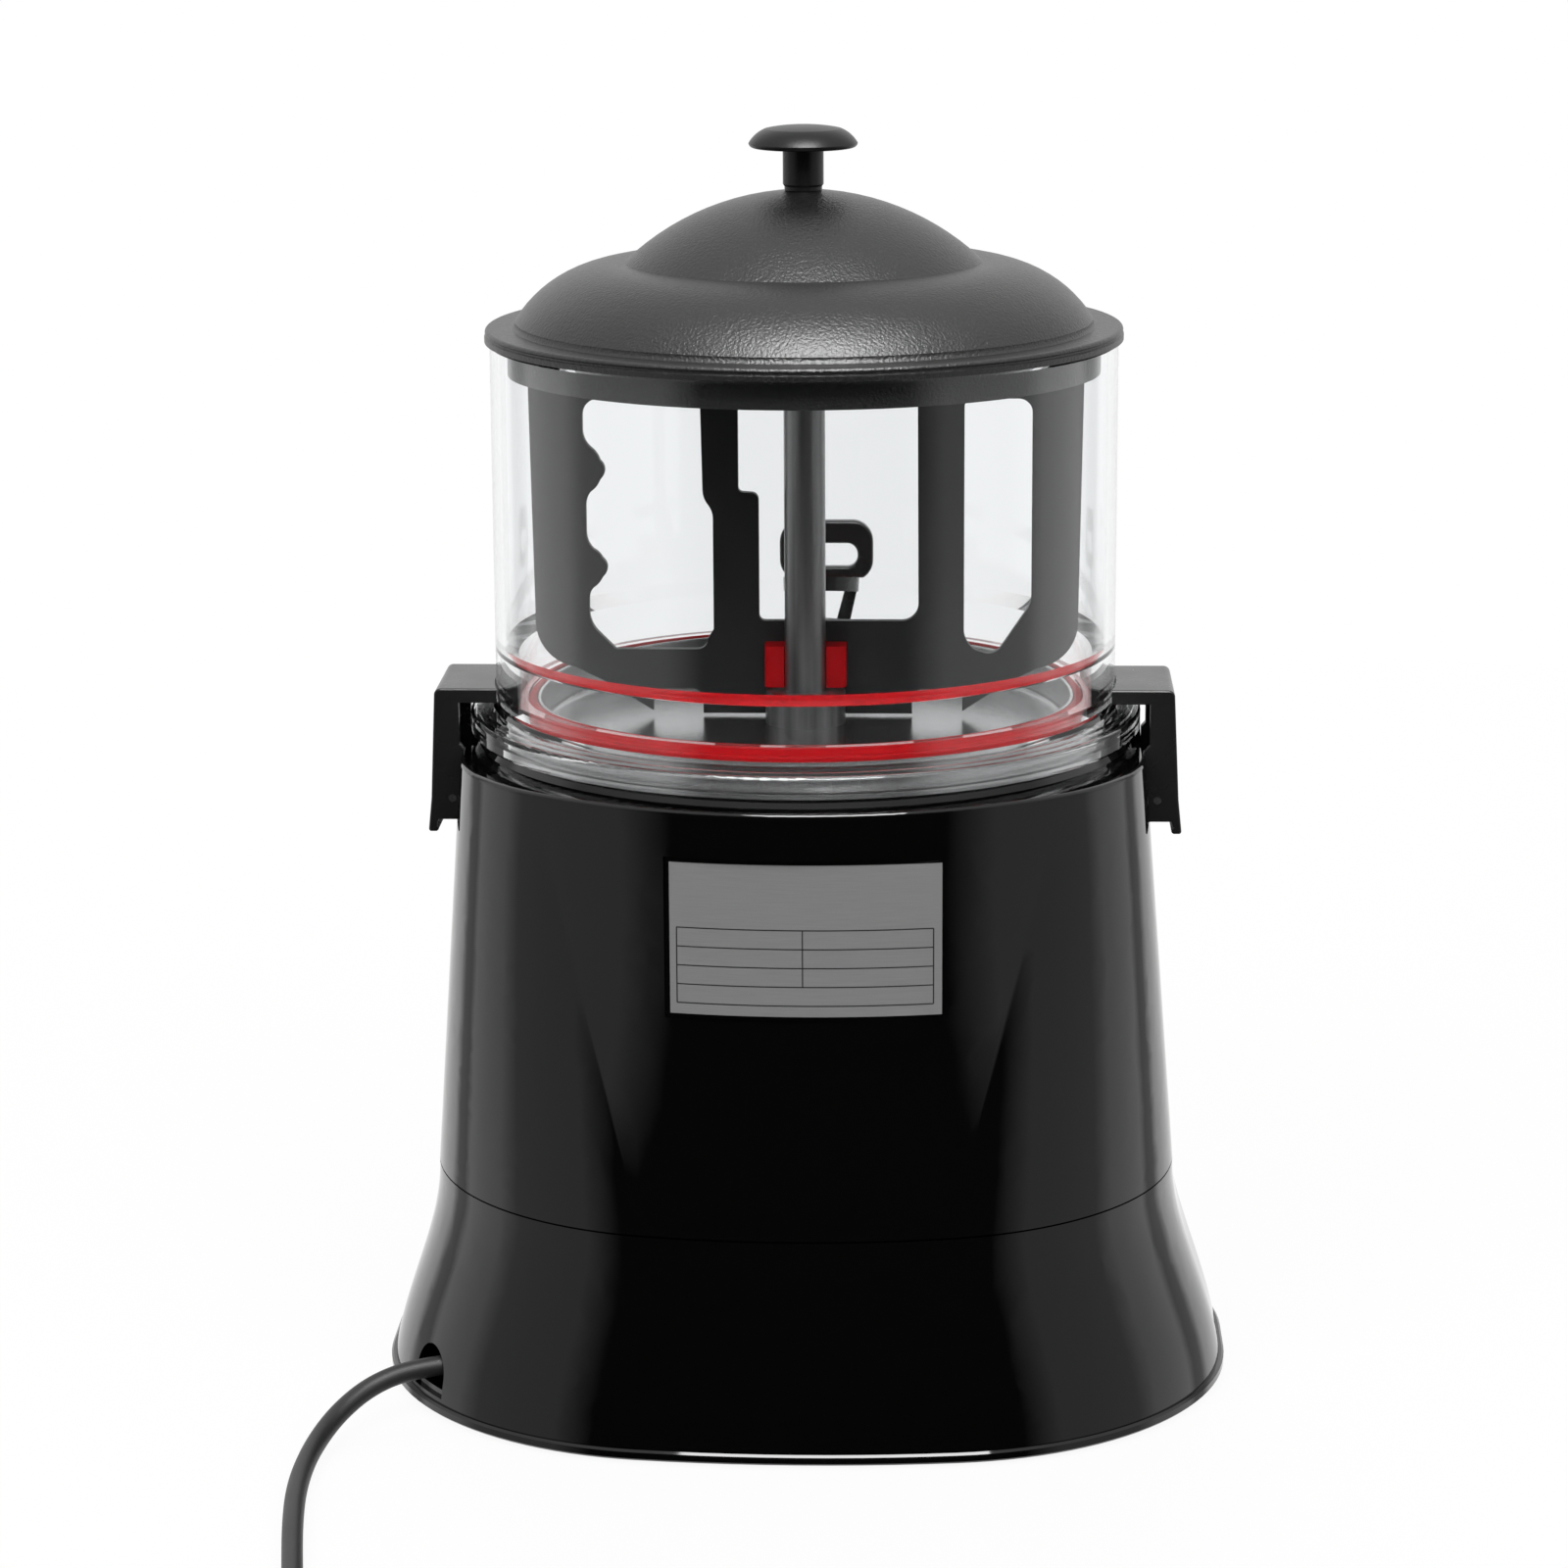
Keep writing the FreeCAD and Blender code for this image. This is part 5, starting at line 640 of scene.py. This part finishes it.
def dial_prints():
    """The dial's numbers, with a dot between each two."""
    form = bmesh.new()
    for index in range(DIAL_NUMBERS):
        angle = (index - DIAL_NUMBERS // 2) * DIAL_STEP
        place = on_dial(angle)
        before = len(form.verts)
        form.from_mesh(numeral_mesh(str(index)))
        form.verts.ensure_lookup_table()
        for vertex in form.verts[before:]:
            vertex.co = place @ vertex.co
        if index < DIAL_NUMBERS - 1:
            dot = print_verts(form, on_dial(angle + DIAL_STEP / 2), circle(DOT_RADIUS, DOT_SIDES))
            form.faces.new(dot)
    return as_mesh(form, "dial_numbers")


def rocker_marks(side, name):
    """A rocker's on bar, on its upper half, and off ring, on its lower half."""
    form = bmesh.new()
    origin = facing_front(side * SWITCH_X, ROCKER_Y, SWITCH_Z, ROCKER_TILT)
    up, down = (
        origin @ Matrix.Translation((0, way * MARK_PLACE * MM, MARK_HEIGHT * MM))
        @ Matrix.Rotation(way * ROCKER_SLOPE, 4, "X")
        for way in (1, -1)
    )
    wide, long = BAR_HALF_WIDTH, BAR_HALF_LENGTH
    form.faces.new(print_verts(form, up, [(-wide, -long), (wide, -long), (wide, long), (-wide, long)]))
    rim = print_verts(form, down, circle(RING_OUTER, RING_SIDES))
    hole = print_verts(form, down, circle(RING_INNER, RING_SIDES))
    for k in range(RING_SIDES):
        after = (k + 1) % RING_SIDES
        form.faces.new((rim[k], rim[after], hole[after], hole[k]))
    return as_mesh(form, name)


def add_prints():
    """Dial numbers and dots round the temperature knob, and the on and off marks of the two rockers."""
    white = plastic("print_white", grey(0.62), grey(0.70), (0.4, 0.5), 600.0, 4e-6)
    add_piece("dial_numbers", dial_prints(), "housing", white)
    for body, side in (("power_rocker", 1), ("stirrer_rocker", -1)):
        name = body + "_marks"
        add_piece(name, rocker_marks(side, name), body, white)


# --------------------------------------------------------------------------------------------------
# Studio
# --------------------------------------------------------------------------------------------------
FLOOR_RADIUS = 1.3  # metres
FLOOR_SIDES = 96
FLOOR_DROP = 0.0002  # metres
FLOOR_WHITE = 0.93  # share of plain white that the camera sees; the rest keeps the shadow


def add_floor():
    """Pale round floor that fades into the white background but keeps a soft shadow.

    Glossy rays pass through it, so reflections see the studio below it.
    """
    form = bmesh.new()
    bmesh.ops.create_circle(form, cap_ends=True, segments=FLOOR_SIDES, radius=FLOOR_RADIUS)
    mesh = as_mesh(form, "floor")
    floor = bpy.data.objects.new("floor", mesh)
    floor.location = (0, 0, -FLOOR_DROP)
    bpy.context.scene.collection.objects.link(floor)
    shader = Shader("floor", Roughness=0.9)
    shader.tint(shader.noise(3.0), grey(0.86), grey(0.88))
    path = shader.node("LightPath")
    glow = shader.node("Emission", Strength=1.0)
    glow.inputs["Color"].default_value = WHITE
    seen = shader.node("Math", operation="MAXIMUM")
    shader.link(path.outputs["Is Camera Ray"], seen.inputs[0])
    shader.link(path.outputs["Is Transmission Ray"], seen.inputs[1])
    share = shader.node("Math", operation="MULTIPLY")
    shader.link(seen.outputs["Value"], share.inputs[0])
    share.inputs[1].default_value = FLOOR_WHITE
    mixed = shader.node("MixShader")
    shader.link(share.outputs["Value"], mixed.inputs[0])
    shader.link(shader.principled.outputs["BSDF"], mixed.inputs[1])
    shader.link(glow.outputs["Emission"], mixed.inputs[2])
    open_floor = shader.node("BsdfTransparent")
    last = shader.node("MixShader")
    shader.link(path.outputs["Is Glossy Ray"], last.inputs[0])
    shader.link(mixed.outputs["Shader"], last.inputs[1])
    shader.link(open_floor.outputs["BSDF"], last.inputs[2])
    shader.link(last.outputs["Shader"], shader.output.inputs["Surface"])
    mesh.materials.append(shader.material)


DIFFUSE_LEVEL = 0.55
DARK_LEVEL = 0.02
SIDE_LEVEL = 0.50
BOX_LEVEL = 0.9
GAP_LEVEL = 0.4
BACK_LEVEL = 1.0
STUDIO_STOPS = [  # degrees from the camera's side, level
    (0, DARK_LEVEL), (38, DARK_LEVEL), (53, SIDE_LEVEL), (88, SIDE_LEVEL), (98, BOX_LEVEL), (121, BOX_LEVEL),
    (126, GAP_LEVEL), (133, GAP_LEVEL), (139, BACK_LEVEL), (180, BACK_LEVEL),
]
TOP_LEVEL = 0.9
TOP_START, TOP_END = 0.35, 0.62  # heights, as a direction's Z, between which the studio turns into its top
NO_BOUNCE = 0.5  # under one bounce


def add_world():
    """The studio that reflections see, and plain light for the other rays.

    Round the machine it goes from a dark room behind the camera over grey sides and pale boxes with a grey
    gap to white behind the machine, and it is pale overhead. Camera rays and rays that only pass through
    glass see plain white, and diffuse rays see an even level.
    """
    world = bpy.data.worlds.new("studio")
    bpy.context.scene.world = world
    world.use_nodes = True
    tree = world.node_tree
    tree.nodes.clear()

    def node(kind, **settings):
        made = tree.nodes.new("ShaderNode" + kind)
        for key, value in settings.items():
            setattr(made, key, value)
        return made

    def wire(output, target):
        tree.links.new(output, target)

    place = node("TexCoord")
    flat = node("VectorMath", operation="MULTIPLY")
    flat.inputs[1].default_value = (1, 1, 0)
    wire(place.outputs["Generated"], flat.inputs[0])
    level = node("VectorMath", operation="NORMALIZE")
    wire(flat.outputs["Vector"], level.inputs[0])
    facing = node("VectorMath", operation="DOT_PRODUCT")
    facing.inputs[1].default_value = (-math.sin(MODEL_TURN), math.cos(MODEL_TURN), 0)
    wire(level.outputs["Vector"], facing.inputs[0])
    angle = node("Math", operation="ARCCOSINE")
    wire(facing.outputs["Value"], angle.inputs[0])
    share = node("Math", operation="DIVIDE")
    share.inputs[1].default_value = math.pi
    wire(angle.outputs["Value"], share.inputs[0])
    ramp = node("ValToRGB")
    elements = ramp.color_ramp.elements
    while len(elements) < len(STUDIO_STOPS):
        elements.new(0.5)
    for element, (position, value) in zip(elements, STUDIO_STOPS):
        element.position = position / 180
        element.color = (*grey(value), 1)
    wire(share.outputs["Value"], ramp.inputs["Fac"])
    height = node("SeparateXYZ")
    wire(place.outputs["Generated"], height.inputs["Vector"])
    top = node("MapRange")
    top.inputs["From Min"].default_value = TOP_START
    top.inputs["From Max"].default_value = TOP_END
    wire(height.outputs["Z"], top.inputs["Value"])
    path = node("LightPath")

    def mix(factor, first, second):
        made = node("Mix", data_type="RGBA")
        wire(factor, made.inputs["Factor"])
        wire(first, made.inputs[MIX_FIRST])
        made.inputs[MIX_SECOND].default_value = second
        return made.outputs[MIX_RESULT]

    room = mix(top.outputs["Result"], ramp.outputs["Color"], (*grey(TOP_LEVEL), 1))
    even = mix(path.outputs["Is Diffuse Ray"], room, (*grey(DIFFUSE_LEVEL), 1))
    bounces = node("Math", operation="ADD")
    wire(path.outputs["Glossy Depth"], bounces.inputs[0])
    wire(path.outputs["Diffuse Depth"], bounces.inputs[1])
    straight = node("Math", operation="LESS_THAN")
    wire(bounces.outputs["Value"], straight.inputs[0])
    straight.inputs[1].default_value = NO_BOUNCE
    through = node("Math", operation="MULTIPLY")
    wire(path.outputs["Is Transmission Ray"], through.inputs[0])
    wire(straight.outputs["Value"], through.inputs[1])
    plain = node("Math", operation="MAXIMUM")
    wire(path.outputs["Is Camera Ray"], plain.inputs[0])
    wire(through.outputs["Value"], plain.inputs[1])
    background = node("Background")
    wire(mix(plain.outputs["Value"], even, WHITE), background.inputs["Color"])
    output = node("OutputWorld")
    wire(background.outputs["Background"], output.inputs["Surface"])


def add_lamp(name, place, target, size, power, mirrored=False):
    """A square soft lamp aimed at a point, which only reflections see when mirrored; places in metres."""
    data = bpy.data.lights.new(name, "AREA")
    data.size = size
    data.energy = power
    lamp = bpy.data.objects.new(name, data)
    lamp.location = place
    lamp.rotation_euler = (Vector(target) - Vector(place)).to_track_quat("-Z", "Y").to_euler()
    lamp.visible_glossy = mirrored
    lamp.visible_diffuse = not mirrored
    lamp.visible_transmission = False
    bpy.context.scene.collection.objects.link(lamp)


def add_lamps():
    """Two lamps on the camera's side, one on the far side, and one overhead that only reflections see."""
    add_lamp("key", (0.9, 1.6, 1.7), (0, 0.05, 0.25), 1.2, 20)
    add_lamp("fill", (-1.0, 1.5, 1.5), (0, 0.05, 0.25), 1.2, 14)
    add_lamp("over", (-0.2, 1.35, 2.05), (0, 0.05, 0.4), 1.3, 95, mirrored=True)
    add_lamp("back", (0.2, -1.6, 1.6), (0, 0.0, 0.25), 1.2, 18)


# --------------------------------------------------------------------------------------------------
# Scene
# --------------------------------------------------------------------------------------------------
add_camera()
lead = add_cord()
lead.data.materials.append(cord_finish())
dress_nodes()
round_window()
wind_spring()
add_prints()
add_floor()
add_world()
add_lamps()
bpy.context.scene.view_settings.view_transform = "Standard"
